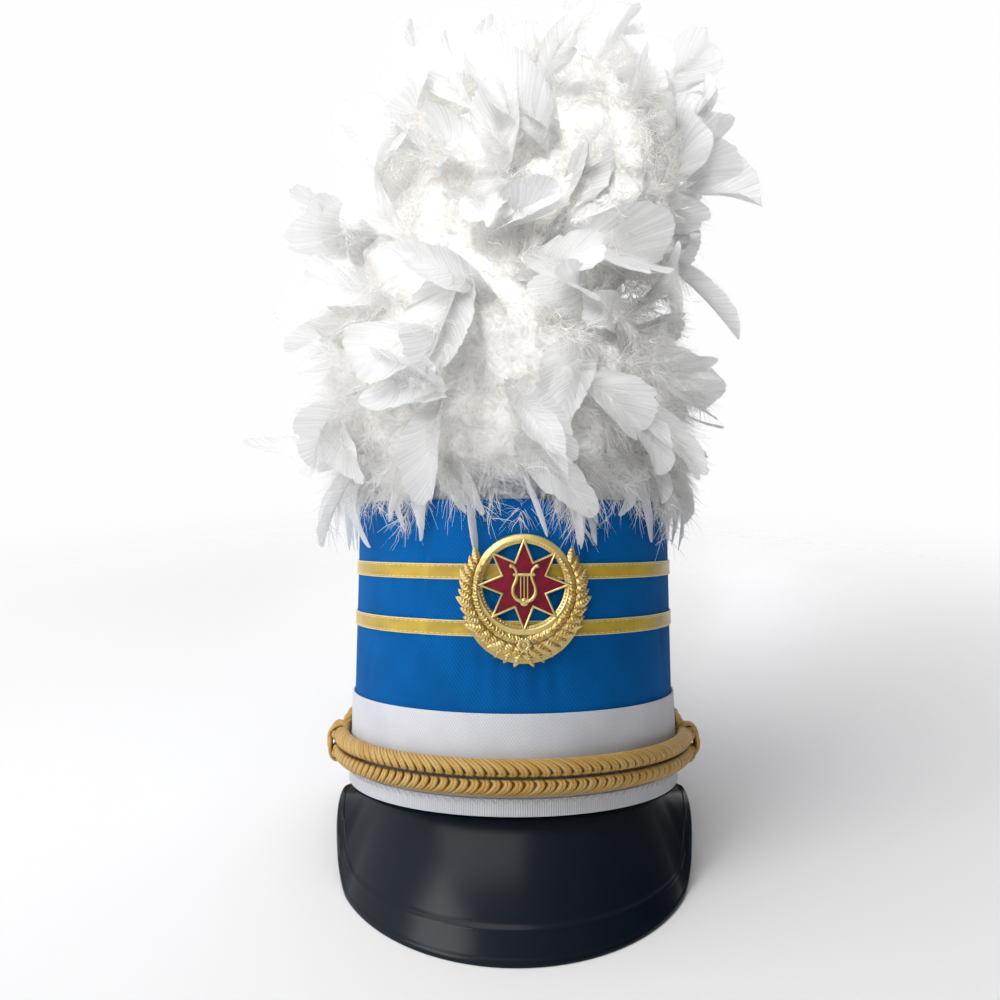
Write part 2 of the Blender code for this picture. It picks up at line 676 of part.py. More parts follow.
def facing(turn, height, outward, lean=0.0):
    """A frame on the crown's wall: local Z out of it, Y up and X towards growing turns."""
    out = wall_normal(turn)
    frame = Matrix((wall_tangent(turn), Vector((0, 0, 1)), out)).transposed().to_4x4()
    frame.translation = wall_point(turn, height, outward)
    return frame @ Matrix.Rotation(-lean, 4, "X")


def make_button(side, name, parts, finish):
    """A plain domed button on a stem, which the cord's end loop hooks over."""
    turn = SLIDE_TURN + math.degrees(LOOP_RUN / (HEAD_HALF_LENGTH + CROWN_WALL + CORD_FACE))
    frame = facing(side * turn, CORD_HEIGHT + LOOP_RISE, BAND_FACE + CLEARANCE)
    under = 2 * CORD_RADIUS * LOOP_THIN + CLEARANCE
    profile = (
        *((BUTTON_RADIUS * point.out, under + BUTTON_DOME * point.up) for point in BUTTON_CURVE),
        (BUTTON_STEM, under),
        (BUTTON_STEM, 0),
        (0, 0),
    )
    return turned(name, profile, TURNED_SIDES, frame, parts, finish)


def badge_frame():
    """The badge's own frame: its back on the stripes, local Z out of the hat and Y up."""
    return facing(BADGE_TURN, BADGE_HEIGHT, STRIPE_FACE + CLEARANCE, WALL_LEAN)


def star_row(radius, valley, height):
    """Points round the star at one height: its tips and valleys in turn, with a tip straight up."""
    row = []
    for i in range(2 * STAR_POINTS):
        angle = math.pi / 2 + math.pi * i / STAR_POINTS
        reach = valley if i % 2 else radius
        row.append(Vector((reach * math.cos(angle), reach * math.sin(angle), height)))
    return row


def star_inset(inset):
    """The star's radius and valley once its outline is moved in by a distance."""
    half = math.pi / STAR_POINTS
    tip = Vector((STAR_RADIUS, 0))
    valley = Vector((STAR_VALLEY * math.cos(half), STAR_VALLEY * math.sin(half)))
    edge = (tip - valley).normalized()
    slope = math.asin(abs(edge.y))
    return STAR_RADIUS - inset / math.sin(slope), STAR_VALLEY - inset / math.sin(half + slope)


def leaf_mesh(name, length, width, rise):
    """A leaf that lies along +X from the origin: a flat back and a keeled front."""
    rows = []
    for row in LEAF_ROWS:
        run, half = length * row.run, width * row.wide / 2
        rows.append([Vector((run, -half, 0)), Vector((run, half, 0)), Vector((run, 0, rise * row.high))])
    return loft(name, rows, end_faces=(0,), tip=Vector((length, 0, LEAF_TIP_RISE)))


def disc_mesh(name, radius, low, high, segments, centre=(0, 0)):
    """A flat round plate."""
    bm = bmesh.new()
    bmesh.ops.create_cone(
        bm, cap_ends=True, segments=segments, radius1=radius, radius2=radius, depth=high - low
    )
    bmesh.ops.translate(bm, verts=bm.verts, vec=(centre[0], centre[1], (low + high) / 2))
    return mesh_from(name, bm)


def add_sprays(group):
    """Two laurel sprays that rise from the tie at the foot of the ring."""
    for side in (-1, 1):
        for i in range(LEAF_PAIRS):
            share = i / (LEAF_PAIRS - 1)
            angle = math.radians(-90 + side * (SPRAY_START + (SPRAY_END - SPRAY_START) * share))
            radius = SPRAY_FOOT + (SPRAY_TIP - SPRAY_FOOT) * share
            size = 1 - LEAF_SHRINK * share
            for inner, spread in enumerate(LEAF_SPREADS):
                heading = angle + side * math.radians(90 - spread)
                base = radius * (1 - LEAF_STAGGER * inner)
                leaf = leaf_mesh(f"leaf_{i}", LEAF_LENGTH * size, LEAF_WIDTH * size, LEAF_RISE)
                holder = add_object(f"leaf_{side}_{i}_{spread}", leaf, group)
                place = Vector((base * math.cos(angle), base * math.sin(angle), LEAF_STEP * (1 + i % 2)))
                holder.matrix_world = Matrix.Translation(place) @ Matrix.Rotation(heading, 4, "Z")


def lyre_place(across, up):
    """A point on the lyre's centre plane, from shares of half its height."""
    return Vector((across * LYRE_HEIGHT / 2, up * LYRE_HEIGHT / 2, LYRE_LIFT))


def add_lyre(group):
    """The lyre: two arms, a bar, strings and a foot, on two posts that come up through the enamel."""
    base, bar = LYRE_ARM[0], LYRE_BAR
    for side in (-1, 1):
        arm = [lyre_place(side * point.across, point.up) for point in LYRE_ARM]
        add_object(f"lyre_arm_{side}", mesh_of_curve("lyre_arm", arm, LYRE_WIRE), group)
    yoke = [lyre_place(-bar.across, bar.up), lyre_place(0, bar.up), lyre_place(bar.across, bar.up)]
    add_object("lyre_bar", mesh_of_curve("lyre_bar", yoke, LYRE_WIRE), group)
    for i, across in enumerate(LYRE_STRINGS):
        string = [lyre_place(across, base.up), lyre_place(across, bar.up)]
        add_object(f"lyre_string_{i}", mesh_of_curve("lyre_string", string, STRING_WIRE, 0), group)
    low, high = LYRE_LIFT - LYRE_WIRE, LYRE_LIFT + LYRE_WIRE
    foot = disc_mesh("lyre_foot", LYRE_FOOT, low, high, TURNED_SIDES, lyre_posts()[0])
    add_object("lyre_foot", foot, group)
    for i, place in enumerate(lyre_posts()):
        post = disc_mesh("lyre_post", LYRE_POST, STAR_FLOOR / 2, LYRE_LIFT, POST_SIDES, place)
        add_object(f"lyre_post_{i}", post, group)


def lyre_posts():
    """Where the lyre's posts stand: under its foot and under the middle of its bar."""
    return (lyre_place(0, LYRE_ARM[0].up).xy, lyre_place(0, LYRE_BAR.up).xy)


def place_all(group, frame):
    """Moves helpers modelled in the badge's frame to the hat's frame."""
    for helper in group.objects:
        helper.matrix_world = frame @ helper.matrix_world


def make_badge(parts, cutters, finish):
    """The badge's metal, fused as one casting and pierced between star and ring."""
    group = bpy.data.collections.new("badge_castings")
    cutters.children.link(group)
    plate_drop = SPRAY_FOOT + RING_WIDTH - RING_RADIUS
    plate = disc_mesh("badge", SPRAY_FOOT, 0, BADGE_PLATE, RING_SIDES, (0, -plate_drop))
    badge = add_object("badge", plate, parts, finish)

    ring_inner = RING_RADIUS - RING_WIDTH
    bore_mesh = disc_mesh("badge_bore", ring_inner, -BADGE_PLATE, RING_RISE + BADGE_PLATE, RING_SIDES)
    bore = add_object("badge_bore", bore_mesh, cutters)
    cut(badge, bore)

    middle = (RING_RADIUS + ring_inner) / 2
    profile = (
        (ring_inner, 0.0),
        (RING_RADIUS, 0.0),
        (RING_RADIUS, RING_RISE * RING_SHOULDER),
        (middle, RING_RISE),
        (ring_inner, RING_RISE * RING_SHOULDER),
    )
    rows = []
    for radius, height in profile:
        row = []
        for i in range(RING_SIDES):
            angle = 2 * math.pi * (i + 0.5) / RING_SIDES
            row.append(Vector((radius * math.cos(angle), radius * math.sin(angle), height)))
        rows.append(row)
    add_object("badge_ring", loft("badge_ring", rows, ring=True), group)

    inner_radius, inner_valley = star_inset(STAR_BORDER)
    tray = [
        star_row(STAR_RADIUS, STAR_VALLEY, LEAF_STEP),
        star_row(STAR_RADIUS, STAR_VALLEY, STAR_RISE),
        star_row(inner_radius, inner_valley, STAR_RISE),
        star_row(inner_radius, inner_valley, STAR_FLOOR),
    ]
    add_object("badge_star", loft("badge_star", tray, end_faces=(0, -1)), group)

    add_sprays(group)
    add_lyre(group)
    knot = disc_mesh("spray_tie", TIE_RADIUS, LEAF_STEP, TIE_RISE, TURNED_SIDES, (0, -SPRAY_FOOT))
    add_object("spray_tie", knot, group)

    frame = badge_frame()
    place_all(group, frame)
    bore.matrix_world = frame
    badge.matrix_world = frame
    fuse(badge, group)
    sharpen(plate)
    return badge


def make_enamel(parts, cutters, finish):
    """The enamel in the star's tray: eight keeled rays, with a hole for each of the lyre's posts."""
    radius, valley = star_inset(STAR_BORDER + CLEARANCE)
    low, high = STAR_FLOOR + CLEARANCE, STAR_RISE - ENAMEL_SINK
    rows = [star_row(radius, valley, low), star_row(radius, valley, high)]
    mesh = loft("badge_enamel", rows, end_faces=(0,), tip=Vector((0, 0, high + ENAMEL_RISE)))
    enamel = add_object("badge_enamel", mesh, parts, finish)
    for i, place in enumerate(lyre_posts()):
        hole = disc_mesh("enamel_hole", LYRE_POST + CLEARANCE, 0, LYRE_LIFT, POST_SIDES, place)
        cutter = add_object(f"enamel_hole_{i}", hole, cutters)
        cutter.matrix_world = badge_frame()
        cut(enamel, cutter)
    enamel.matrix_world = badge_frame()
    return enamel


def make_post(parts, finish):
    """The stud that holds the badge: a head inside the crown and a shank through its wall."""
    back = -(STRIPE_FACE + CLEARANCE) - CROWN_WALL - CLEARANCE
    profile = (
        (0, -CLEARANCE),
        (POST_RADIUS, -CLEARANCE),
        (POST_RADIUS, back - FOLD_DEPTH),
        (POST_HEAD, back - FOLD_DEPTH),
        (POST_HEAD, back - FOLD_DEPTH - POST_HEAD_THICK),
        (0, back - FOLD_DEPTH - POST_HEAD_THICK),
    )
    return turned("badge_post", profile, TURNED_SIDES, badge_frame(), parts, finish)


def heap_centre(rise):
    """Middle of the heap of down at a share of the plume's height."""
    return Vector(
        (PLUME_HALF_WIDTH * read_table(HEAPS, "rise", "across", rise), 0, plume_foot() + PLUME_HEIGHT * rise)
    )


def heap_point(rise, turn):
    """A point on the heap's face."""
    wide = PLUME_HALF_WIDTH * read_table(HEAPS, "rise", "wide", rise)
    deep = PLUME_HALF_DEPTH * read_table(HEAPS, "rise", "deep", rise)
    angle = math.radians(turn)
    swell = 0.0
    for mound in MOUNDS:
        aside = turn_gap(turn, mound.turn) / mound.spread
        above = (rise - mound.rise) / mound.tall
        swell += MOUND_SWELL * mound.swell * math.exp(-aside * aside - above * above)
    out = Vector(((wide + swell) * math.sin(angle), -(deep + swell) * math.cos(angle), 0))
    return heap_centre(rise) + out


def plume_foot():
    """Height of the plume's flat foot, just above the crown's top."""
    return CROWN_HEIGHT + CLEARANCE


def share_point(across, depth, rise):
    """A point given as shares of the plume's sizes."""
    return Vector((PLUME_HALF_WIDTH * across, PLUME_HALF_DEPTH * depth, plume_foot() + PLUME_HEIGHT * rise))


def lock_mesh(name, root, bend, tip, side, width, thickness):
    """A feather lock: a lens-shaped blade along a curve from root to tip, widest beyond its middle."""
    rows = []
    for row in LOCK_ROWS:
        run = row.run
        place = root * (1 - run) ** 2 + bend * (2 * run * (1 - run)) + tip * run**2
        along = ((bend - root) * (1 - run) + (tip - bend) * run).normalized()
        level = (side - along * side.dot(along)).normalized()
        face = along.cross(level)
        half, deep = width * row.wide / 2, thickness * row.thick / 2
        rows.append([place - level * half, place - face * deep, place + level * half, place + face * deep])
    return loft(name, rows, end_faces=(0,), tip=tip)


def add_show_locks(group):
    """The long locks of the outline."""
    for i, lock in enumerate(SHOW_LOCKS):
        root = share_point(lock.x0, lock.y0, lock.z0)
        tip = share_point(lock.x1, lock.y1, lock.z1)
        length = (tip - root).length
        bend = (root + tip) / 2 - Vector((0, 0, lock.sag * length))
        outward = Vector((lock.x1, lock.y1, 0)).normalized()
        side = (tip - root).cross(outward + Vector((0, 0, LOCK_TWIST)))
        mesh = lock_mesh(f"show_{i}", root, bend, tip, side, lock.width * PLUME_HEIGHT, QUILL_THICK)
        add_object(f"show_lock_{i}", mesh, group)


def add_ring_locks(group):
    """Rings of locks that lean out of the heap's face."""
    for ring in LOCK_RINGS:
        for i in range(ring.count):
            turn = ring.turn + 360 * i / ring.count
            sway = SWAY * math.sin(GOLDEN_ANGLE * i + 9 * ring.rise)
            foot = heap_point(ring.rise, turn + sway / 2)
            out = (foot - heap_centre(ring.rise)).normalized()
            level = Vector((0, 0, 1)).cross(out)
            roll = math.radians(ring.roll + ROLL_SWAY * sway)
            slant = Vector((0, 0, 1)) * math.cos(roll) + level * math.sin(roll)
            lean = math.radians(ring.lean + sway)
            reach = LOCK_REACH * ring.reach * (1 + REACH_SWAY * math.cos(GOLDEN_ANGLE * i))
            heading = out * math.sin(lean) + slant * math.cos(lean)
            root = foot - out * (ROOT_DEPTH * reach)
            tip = foot + heading * reach
            bend = foot + (out * CURL_OUT + slant * CURL_ALONG) * reach
            side = heading.cross(out)
            width = ring.width * PLUME_HEIGHT
            mesh = lock_mesh("ring_lock", root, bend, tip, side, width, QUILL_THICK)
            add_object(f"ring_lock_{ring.rise}_{i}", mesh, group)


def add_hem_locks(group):
    """Locks that come over the crown's edge and hang down its wall."""
    for i, lock in enumerate(HEM_LOCKS):
        centre = heap_centre(HEM_RISE)
        root = centre + (heap_point(HEM_RISE, lock.turn) - centre) * HEM_ROOT
        stand = HEM_GAP + QUILL_THICK / 2
        tip = wall_point(lock.turn, CROWN_HEIGHT - HEM_HANG * lock.hang, stand)
        bend = wall_point(lock.turn, CROWN_HEIGHT, stand + HEM_BEND_OUT) + Vector((0, 0, HEM_BEND_UP))
        side = wall_tangent(lock.turn)
        mesh = lock_mesh(f"hem_{i}", root, bend, tip, side, lock.width * PLUME_HEIGHT, QUILL_THICK)
        add_object(f"hem_lock_{i}", mesh, group)


def make_plume(parts, cutters, finish):
    """The plume: a heap of down with locks fused to it."""
    group = bpy.data.collections.new("plume_locks")
    cutters.children.link(group)
    turns = [360 * i / PLUME_SIDES for i in range(PLUME_SIDES)]
    rises = [HEAPS[-1].rise * i / HEAP_ROWS for i in range(HEAP_ROWS + 1)]
    rows = [[heap_point(rise, turn) for turn in turns] for rise in rises]
    mesh = loft("plume", rows, end_faces=(0, -1))
    plume = add_object("plume", mesh, parts, finish)
    add_show_locks(group)
    add_ring_locks(group)
    add_hem_locks(group)
    fuse(plume, group)
    sharpen(mesh, 60)
    return plume


def stand_at_rest(parts):
    """Leans the hat back on its peak and puts the origin below the middle of its bounding box."""
    rest = bpy.data.objects.new("rest", None)
    bpy.context.scene.collection.objects.link(rest)
    for obj in bpy.data.objects:
        if obj is not rest and obj.type == "MESH":
            obj.parent = rest
    rest.rotation_euler = (-REST_TILT, 0, 0)
    bpy.context.view_layer.update()
    graph = bpy.context.evaluated_depsgraph_get()
    corners = []
    for obj in parts.objects:
        shown = obj.evaluated_get(graph)
        corners += [shown.matrix_world @ vertex.co for vertex in shown.data.vertices]
    low = [min(corner[axis] for corner in corners) for axis in range(3)]
    high = [max(corner[axis] for corner in corners) for axis in range(3)]
    rest.location = (-(low[0] + high[0]) / 2, -(low[1] + high[1]) / 2, -low[2])


def main():
    clear_scene()
    parts = bpy.data.collections.new("marching_band_hat")
    cutters = bpy.data.collections.new("cutters")
    bpy.context.scene.collection.children.link(parts)
    bpy.context.scene.collection.children.link(cutters)

    blue_cloth = material("blue_cloth", (0.004, 0.120, 0.430), 0.75)
    white_cloth = material("white_cloth", (0.80, 0.81, 0.84), 0.85)
    white_ribbon = material("white_ribbon", (0.84, 0.85, 0.88), 0.65)
    gold_ribbon = material("gold_ribbon", (0.62, 0.45, 0.03), 0.40)
    black_vinyl = material("black_vinyl", (0.012, 0.016, 0.020), 0.22)
    gold_cord = material("gold_cord", (0.62, 0.36, 0.07), 0.45)
    gilt = material("gilt", (0.80, 0.56, 0.20), 0.30, metallic=1.0)
    red_enamel = material("red_enamel", (0.20, 0.006, 0.016), 0.12)
    feather = material("feather", (0.86, 0.86, 0.86), 0.80)

    make_crown(parts, cutters, blue_cloth)
    make_oval_strip("head_band", 0, BAND_HEIGHT, CLEARANCE, BAND_THICK, parts, white_cloth)
    ribbon_face = BAND_FACE + CLEARANCE
    make_oval_strip("rim_ribbon", 0, RIBBON_HEIGHT, ribbon_face, RIBBON_THICK, parts, white_ribbon)
    for name, middle in zip(("stripe_lower", "stripe_upper"), STRIPE_HEIGHTS):
        low, high = middle - STRIPE_WIDTH / 2, middle + STRIPE_WIDTH / 2
        make_oval_strip(name, low, high, CLEARANCE, STRIPE_THICK, parts, gold_ribbon)
    make_peak(parts, black_vinyl)
    make_cord(parts, gold_cord)
    for side, label in ((1, "left"), (-1, "right")):
        make_slide(side, f"cord_slide_{label}", parts, gold_cord)
        make_button(side, f"side_button_{label}", parts, gilt)
    make_badge(parts, cutters, gilt)
    make_enamel(parts, cutters, red_enamel)
    make_post(parts, gilt)
    make_plume(parts, cutters, feather)
    stand_at_rest(parts)


main()
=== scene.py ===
"""Looks of the marching band hat: cloth, ribbons, peak, plaited cord, badge and feather plume.

Every piece is modelled in the hat's own frame, in millimetres: +Z up the crown's axis, the front towards
-Y, the wearer's left towards +X, and the rim at z = 0. A turn is in degrees round the crown from the front,
towards the wearer's left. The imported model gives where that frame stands.
"""

import json
import math
from collections import namedtuple

import bpy
import numpy as np
from mathutils import Matrix, Vector


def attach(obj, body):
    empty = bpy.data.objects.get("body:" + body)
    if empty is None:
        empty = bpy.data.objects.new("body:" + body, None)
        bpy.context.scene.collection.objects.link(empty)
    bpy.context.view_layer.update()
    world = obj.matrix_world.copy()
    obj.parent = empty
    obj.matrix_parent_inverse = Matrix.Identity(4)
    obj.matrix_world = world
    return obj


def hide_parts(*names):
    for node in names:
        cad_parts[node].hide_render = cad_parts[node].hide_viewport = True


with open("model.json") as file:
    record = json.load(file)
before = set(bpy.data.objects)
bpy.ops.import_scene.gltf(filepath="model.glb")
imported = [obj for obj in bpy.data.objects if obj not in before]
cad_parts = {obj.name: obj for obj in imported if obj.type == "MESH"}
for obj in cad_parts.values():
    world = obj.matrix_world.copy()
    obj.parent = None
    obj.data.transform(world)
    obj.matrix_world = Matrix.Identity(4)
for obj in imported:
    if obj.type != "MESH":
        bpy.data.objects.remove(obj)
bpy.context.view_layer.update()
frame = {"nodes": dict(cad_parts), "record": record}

MM = 0.001
UP = np.array((0.0, 0.0, 1.0))

# Crown and band, as in the source
HEAD_HALF_WIDTH = 85.2
HEAD_HALF_LENGTH = 97.5
CROWN_WALL = 3.0
CROWN_HEIGHT = 150.0
CROWN_TAPER = 3.0
CROWN_EDGE = 3.0
CLEARANCE = 0.3
BAND_HEIGHT = 48.0
BAND_THICK = 1.2
RIBBON_HEIGHT = 8.5
RIBBON_THICK = 0.7
STRIPE_HEIGHTS = {"stripe_lower": 88.0, "stripe_upper": 115.0}
STRIPE_WIDTH = 7.6
STRIPE_THICK = 0.6
OVAL_STEPS = 40
ROUND_COLUMNS = 320

# Soft dents in the crown's cloth, as in the source, and finer puckers that only show here. turn and spread
# are degrees, height and tall shares of CROWN_HEIGHT, depth a share of FOLD_DEPTH, and slant the degrees that
# a dent leans round the crown over the whole of CROWN_HEIGHT
Fold = namedtuple("Fold", "turn height spread tall depth slant")
FOLD_DEPTH = 1.4
FOLD_EASE = 0.08
FOLDS = (
    Fold(-37, 0.82, 9, 0.20, 1.0, 0),
    Fold(-12, 0.42, 8, 0.10, 0.7, 0),
    Fold(8, 0.43, 8, 0.12, 0.8, 0),
    Fold(31, 0.88, 10, 0.12, 0.6, 0),
    Fold(-105, 0.70, 14, 0.22, 0.7, 0),
    Fold(118, 0.66, 15, 0.24, 0.7, 0),
    Fold(166, 0.60, 12, 0.30, 0.6, 0),
)
PUCKERS = (
    Fold(-17, 0.44, 1.7, 0.09, 0.35, 12),
    Fold(-11, 0.42, 1.5, 0.10, 0.45, 8),
    Fold(-5, 0.43, 1.6, 0.11, 0.50, 4),
    Fold(1, 0.41, 1.5, 0.10, 0.45, 0),
    Fold(7, 0.43, 1.7, 0.11, 0.50, -5),
    Fold(13, 0.42, 1.6, 0.09, 0.40, -9),
    Fold(-32, 0.79, 1.9, 0.15, 1.00, 14),
    Fold(-25, 0.88, 2.0, 0.10, 0.60, 6),
    Fold(-31, 0.63, 1.8, 0.13, 0.60, 40),
    Fold(-27, 0.55, 1.8, 0.10, 0.45, 36),
    Fold(40, 0.55, 2.4, 0.12, 0.25, -20),
    Fold(-58, 0.45, 2.6, 0.10, 0.25, 22),
    Fold(62, 0.50, 2.6, 0.14, 0.25, -14),
    Fold(-84, 0.66, 3.0, 0.16, 0.30, 10),
    Fold(95, 0.62, 3.0, 0.18, 0.30, -8),
    Fold(140, 0.48, 2.8, 0.14, 0.30, 12),
    Fold(-150, 0.52, 2.8, 0.16, 0.30, -10),
)

# Peak, as in the source
PEAK_THICK = 1.5
PEAK_FLANGE = 12.0
FLANGE_SINK = 0.5
PEAK_LEAD = 1.2
PEAK_HALF_TURN = 76.0
PEAK_REACH = 142.0
PEAK_DROP = 54.6
LIP_CENTRE = 40.0
LIP_HALF_WIDTH = 90.0
LIP_HALF_TURN = 96.0
PEAK_BULGE = 2.5
BORDER_RISE = 0.5
BORDER_START = 0.775
LIP_ACROSS = (0.0, 0.64, 0.75, 0.82, 0.90, 1.0)
LIP_DROP = (1.0, 1.0, 0.82, 0.54, 0.29, 0.08)

# Cap cord, as in the source
CORD_HEIGHT = 19.2
CORD_RADIUS = 4.2
STRAND_GAP = 0.4
SLIDE_TURN = 84.0
SLIDE_LENGTH = 13.0
SLIDE_WALL = 1.6
SLIDE_PLAY = 0.7
LOOP_RUN = 24.0
LOOP_RADIUS = 10.0
LOOP_RISE = 3.0
LOOP_THIN = 0.6
BUTTON_STEM = 6.2
BUTTON_RADIUS = 8.5
BUTTON_DOME = 3.0

# Plait of the cord: pitch of its stitches, each two yarns side by side that close up into one fat lobe
STITCH_PITCH = 4.95
YARN_RADIUS = 1.0
# Route of a stitch over its strand: along is a share of the pitch, turn is degrees round the strand, from
# facing out of the hat towards the strand's plain side, out is a share of CORD_RADIUS, thick of YARN_RADIUS,
# and apart is the distance between the two yarns as a share of the pitch
Stitch = namedtuple("Stitch", "along turn out thick apart")
STITCH_ROUTE = (
    Stitch(-2.30, 165, 0.72, 0.80, 0.50),
    Stitch(-1.95, 130, 0.80, 0.85, 0.50),
    Stitch(-1.50, 98, 0.84, 0.88, 0.50),
    Stitch(-1.00, 66, 0.85, 0.90, 0.50),
    Stitch(-0.50, 38, 0.86, 1.00, 0.46),
    Stitch(0.00, 14, 0.90, 1.22, 0.36),
    Stitch(0.34, -10, 0.92, 1.38, 0.30),
    Stitch(0.40, -36, 0.90, 1.38, 0.30),
    Stitch(0.12, -58, 0.84, 1.25, 0.30),
    Stitch(-0.30, -72, 0.66, 1.00, 0.34),
    Stitch(-0.55, -78, 0.45, 0.90, 0.40),
)

# Badge, as in the source
BADGE_TURN = 2.6
BADGE_HEIGHT = 109.0
BADGE_PLATE = 1.0
RING_RADIUS = 24.2
RING_WIDTH = 4.6
RING_RISE = 2.2
STAR_POINTS = 8
STAR_RADIUS = 22.4
STAR_VALLEY = 11.8
STAR_RISE = 2.8
STAR_BORDER = 0.9
STAR_FLOOR = 0.9
ENAMEL_SINK = 1.0
ENAMEL_RISE = 0.6
LYRE_HEIGHT = 19.0
LYRE_WIRE = 0.9
LYRE_ARM = (
    (0.00, -0.86),
    (0.36, -0.76),
    (0.57, -0.46),
    (0.56, -0.10),
    (0.41, 0.22),
    (0.35, 0.50),
    (0.43, 0.78),
    (0.62, 0.96),
)
LYRE_BAR = (0.52, 0.50)
LYRE_STRINGS = (-0.17, 0.0, 0.17)
STRING_WIRE = 0.4
LEAF_LENGTH = 11.8
LEAF_WIDTH = 6.0
LEAF_RISE = 2.6
LEAF_PAIRS = 5
LEAF_SPREADS = (30, -8)
LEAF_STAGGER = 0.10
LEAF_SHRINK = 0.18
LEAF_BETWEEN = 3  # leaves shown here for each leaf of the source
FOOT_SPREAD = 64  # degrees that a third row of leaves stands out over the plate's foot
FOOT_SHARE = 0.62  # and how far up a spray it goes
FOOT_LEAF = 9.6
SPRAY_START = 16.0
SPRAY_END = 112.0
SPRAY_FOOT = 28.5
SPRAY_TIP = 23.8
TIE_RADIUS = 3.4
TIE_RISE = 3.0

# Plume, as in the source
PLUME_HEIGHT = 269.0
PLUME_HALF_WIDTH = 106.0
PLUME_HALF_DEPTH = 100.0
HEAP_RISES = (0.00, 0.06, 0.18, 0.31, 0.42, 0.50, 0.60, 0.70, 0.80, 0.88, 0.93)
HEAP_ACROSS = (0.00, -0.01, -0.03, -0.08, -0.12, -0.08, 0.07, 0.16, 0.18, 0.19, 0.22)
HEAP_WIDE = (0.74, 0.84, 0.88, 0.87, 0.80, 0.80, 0.80, 0.74, 0.63, 0.46, 0.22)
HEAP_DEEP = (0.88, 0.94, 0.93, 0.90, 0.82, 0.80, 0.80, 0.76, 0.66, 0.48, 0.22)
Mound = namedtuple("Mound", "turn rise spread tall swell")
MOUND_SWELL = 14.0
MOUNDS = (
    Mound(-18, 0.30, 26, 0.10, 0.9),
    Mound(38, 0.26, 24, 0.09, 0.8),
    Mound(-62, 0.16, 22, 0.08, 0.7),
    Mound(12, 0.50, 24, 0.07, -0.8),
    Mound(-30, 0.68, 28, 0.10, 0.8),
    Mound(46, 0.60, 26, 0.10, 0.7),
    Mound(95, 0.40, 30, 0.08, -0.7),
    Mound(-100, 0.62, 30, 0.08, -0.7),
    Mound(135, 0.22, 30, 0.11, 0.8),
    Mound(168, 0.47, 28, 0.08, -0.8),
    Mound(-140, 0.32, 28, 0.11, 0.8),
    Mound(150, 0.70, 30, 0.10, 0.8),
    Mound(-155, 0.78, 26, 0.08, -0.5),
)
Lock = namedtuple("Lock", "x0 y0 z0 x1 y1 z1 width sag")
SHOW_LOCKS = (
    Lock(-0.55, -0.10, 0.12, -1.38, -0.22, 0.12, 0.085, 0.10),
    Lock(-0.50, 0.00, 0.47, -1.08, -0.10, 0.60, 0.125, 0.04),
    Lock(-0.45, -0.20, 0.38, -1.13, -0.16, 0.31, 0.160, -0.16),
    Lock(-0.55, 0.10, 0.24, -1.02, 0.15, 0.13, 0.140, -0.14),
    Lock(-0.25, 0.15, 0.62, -0.78, 0.12, 0.70, 0.180, -0.30),
    Lock(-0.10, 0.00, 0.76, -0.48, -0.05, 0.88, 0.170, -0.22),
    Lock(0.10, 0.00, 0.80, 0.06, 0.05, 0.99, 0.110, -0.10),
    Lock(0.35, -0.05, 0.80, 0.61, -0.05, 1.00, 0.160, -0.12),
    Lock(0.50, 0.10, 0.70, 0.99, 0.15, 0.85, 0.150, -0.14),
    Lock(0.55, 0.10, 0.64, 1.38, 0.25, 0.655, 0.130, -0.20),
    Lock(0.60, 0.10, 0.55, 1.24, 0.20, 0.355, 0.085, -0.22),
    Lock(0.50, -0.15, 0.34, 1.08, -0.20, 0.25, 0.130, -0.12),
    Lock(0.50, 0.00, 0.20, 0.99, 0.00, 0.10, 0.110, -0.15),
    Lock(-0.20, -0.60, 0.47, -0.36, -1.06, 0.20, 0.200, -0.26),
    Lock(0.45, -0.55, 0.36, 0.12, -1.12, 0.08, 0.140, -0.22),
    Lock(0.30, -0.50, 0.66, -0.22, -0.96, 0.50, 0.130, -0.20),
    Lock(0.10, 0.60, 0.70, 0.20, 1.04, 0.82, 0.130, -0.20),
    Lock(-0.10, 0.60, 0.38, 0.10, 1.14, 0.28, 0.150, -0.24),
)
# How far the feathers reach to either side at shares of the plume's height, but for the long ones above
OUTLINE_RISES = (0.02, 0.06, 0.14, 0.30, 0.42, 0.57, 0.62, 0.66, 0.77, 0.85, 0.90, 0.94, 0.98)
OUTLINE_LEFT = (-0.80, -0.90, -0.98, -1.02, -1.00, -0.96, -0.84, -0.70, -0.58, -0.44, -0.24, -0.15, 0.06)
OUTLINE_RIGHT = (0.84, 0.89, 0.90, 0.92, 0.96, 0.98, 0.98, 0.96, 0.92, 0.86, 0.66, 0.60, 0.50)
LockRing = namedtuple("LockRing", "rise count turn reach width lean roll")
LOCK_REACH = 56.0
LOCK_RINGS = (
    LockRing(0.10, 10, 12, 0.85, 0.120, 12, 158),
    LockRing(0.23, 11, 28, 1.00, 0.135, 12, 125),
    LockRing(0.37, 10, 5, 1.00, 0.140, 13, -70),
    LockRing(0.50, 10, 25, 1.00, 0.140, 13, 50),
    LockRing(0.64, 8, 10, 0.95, 0.130, 14, -35),
    LockRing(0.76, 7, 40, 0.80, 0.125, 20, 25),
)
ROOT_DEPTH = 0.28
CURL_OUT = 0.24
CURL_ALONG = 0.34
SWAY = 9.5
ROLL_SWAY = 2.5
REACH_SWAY = 0.15
LOCK_TWIST = 0.35
GOLDEN_ANGLE = math.pi * (3 - math.sqrt(5))

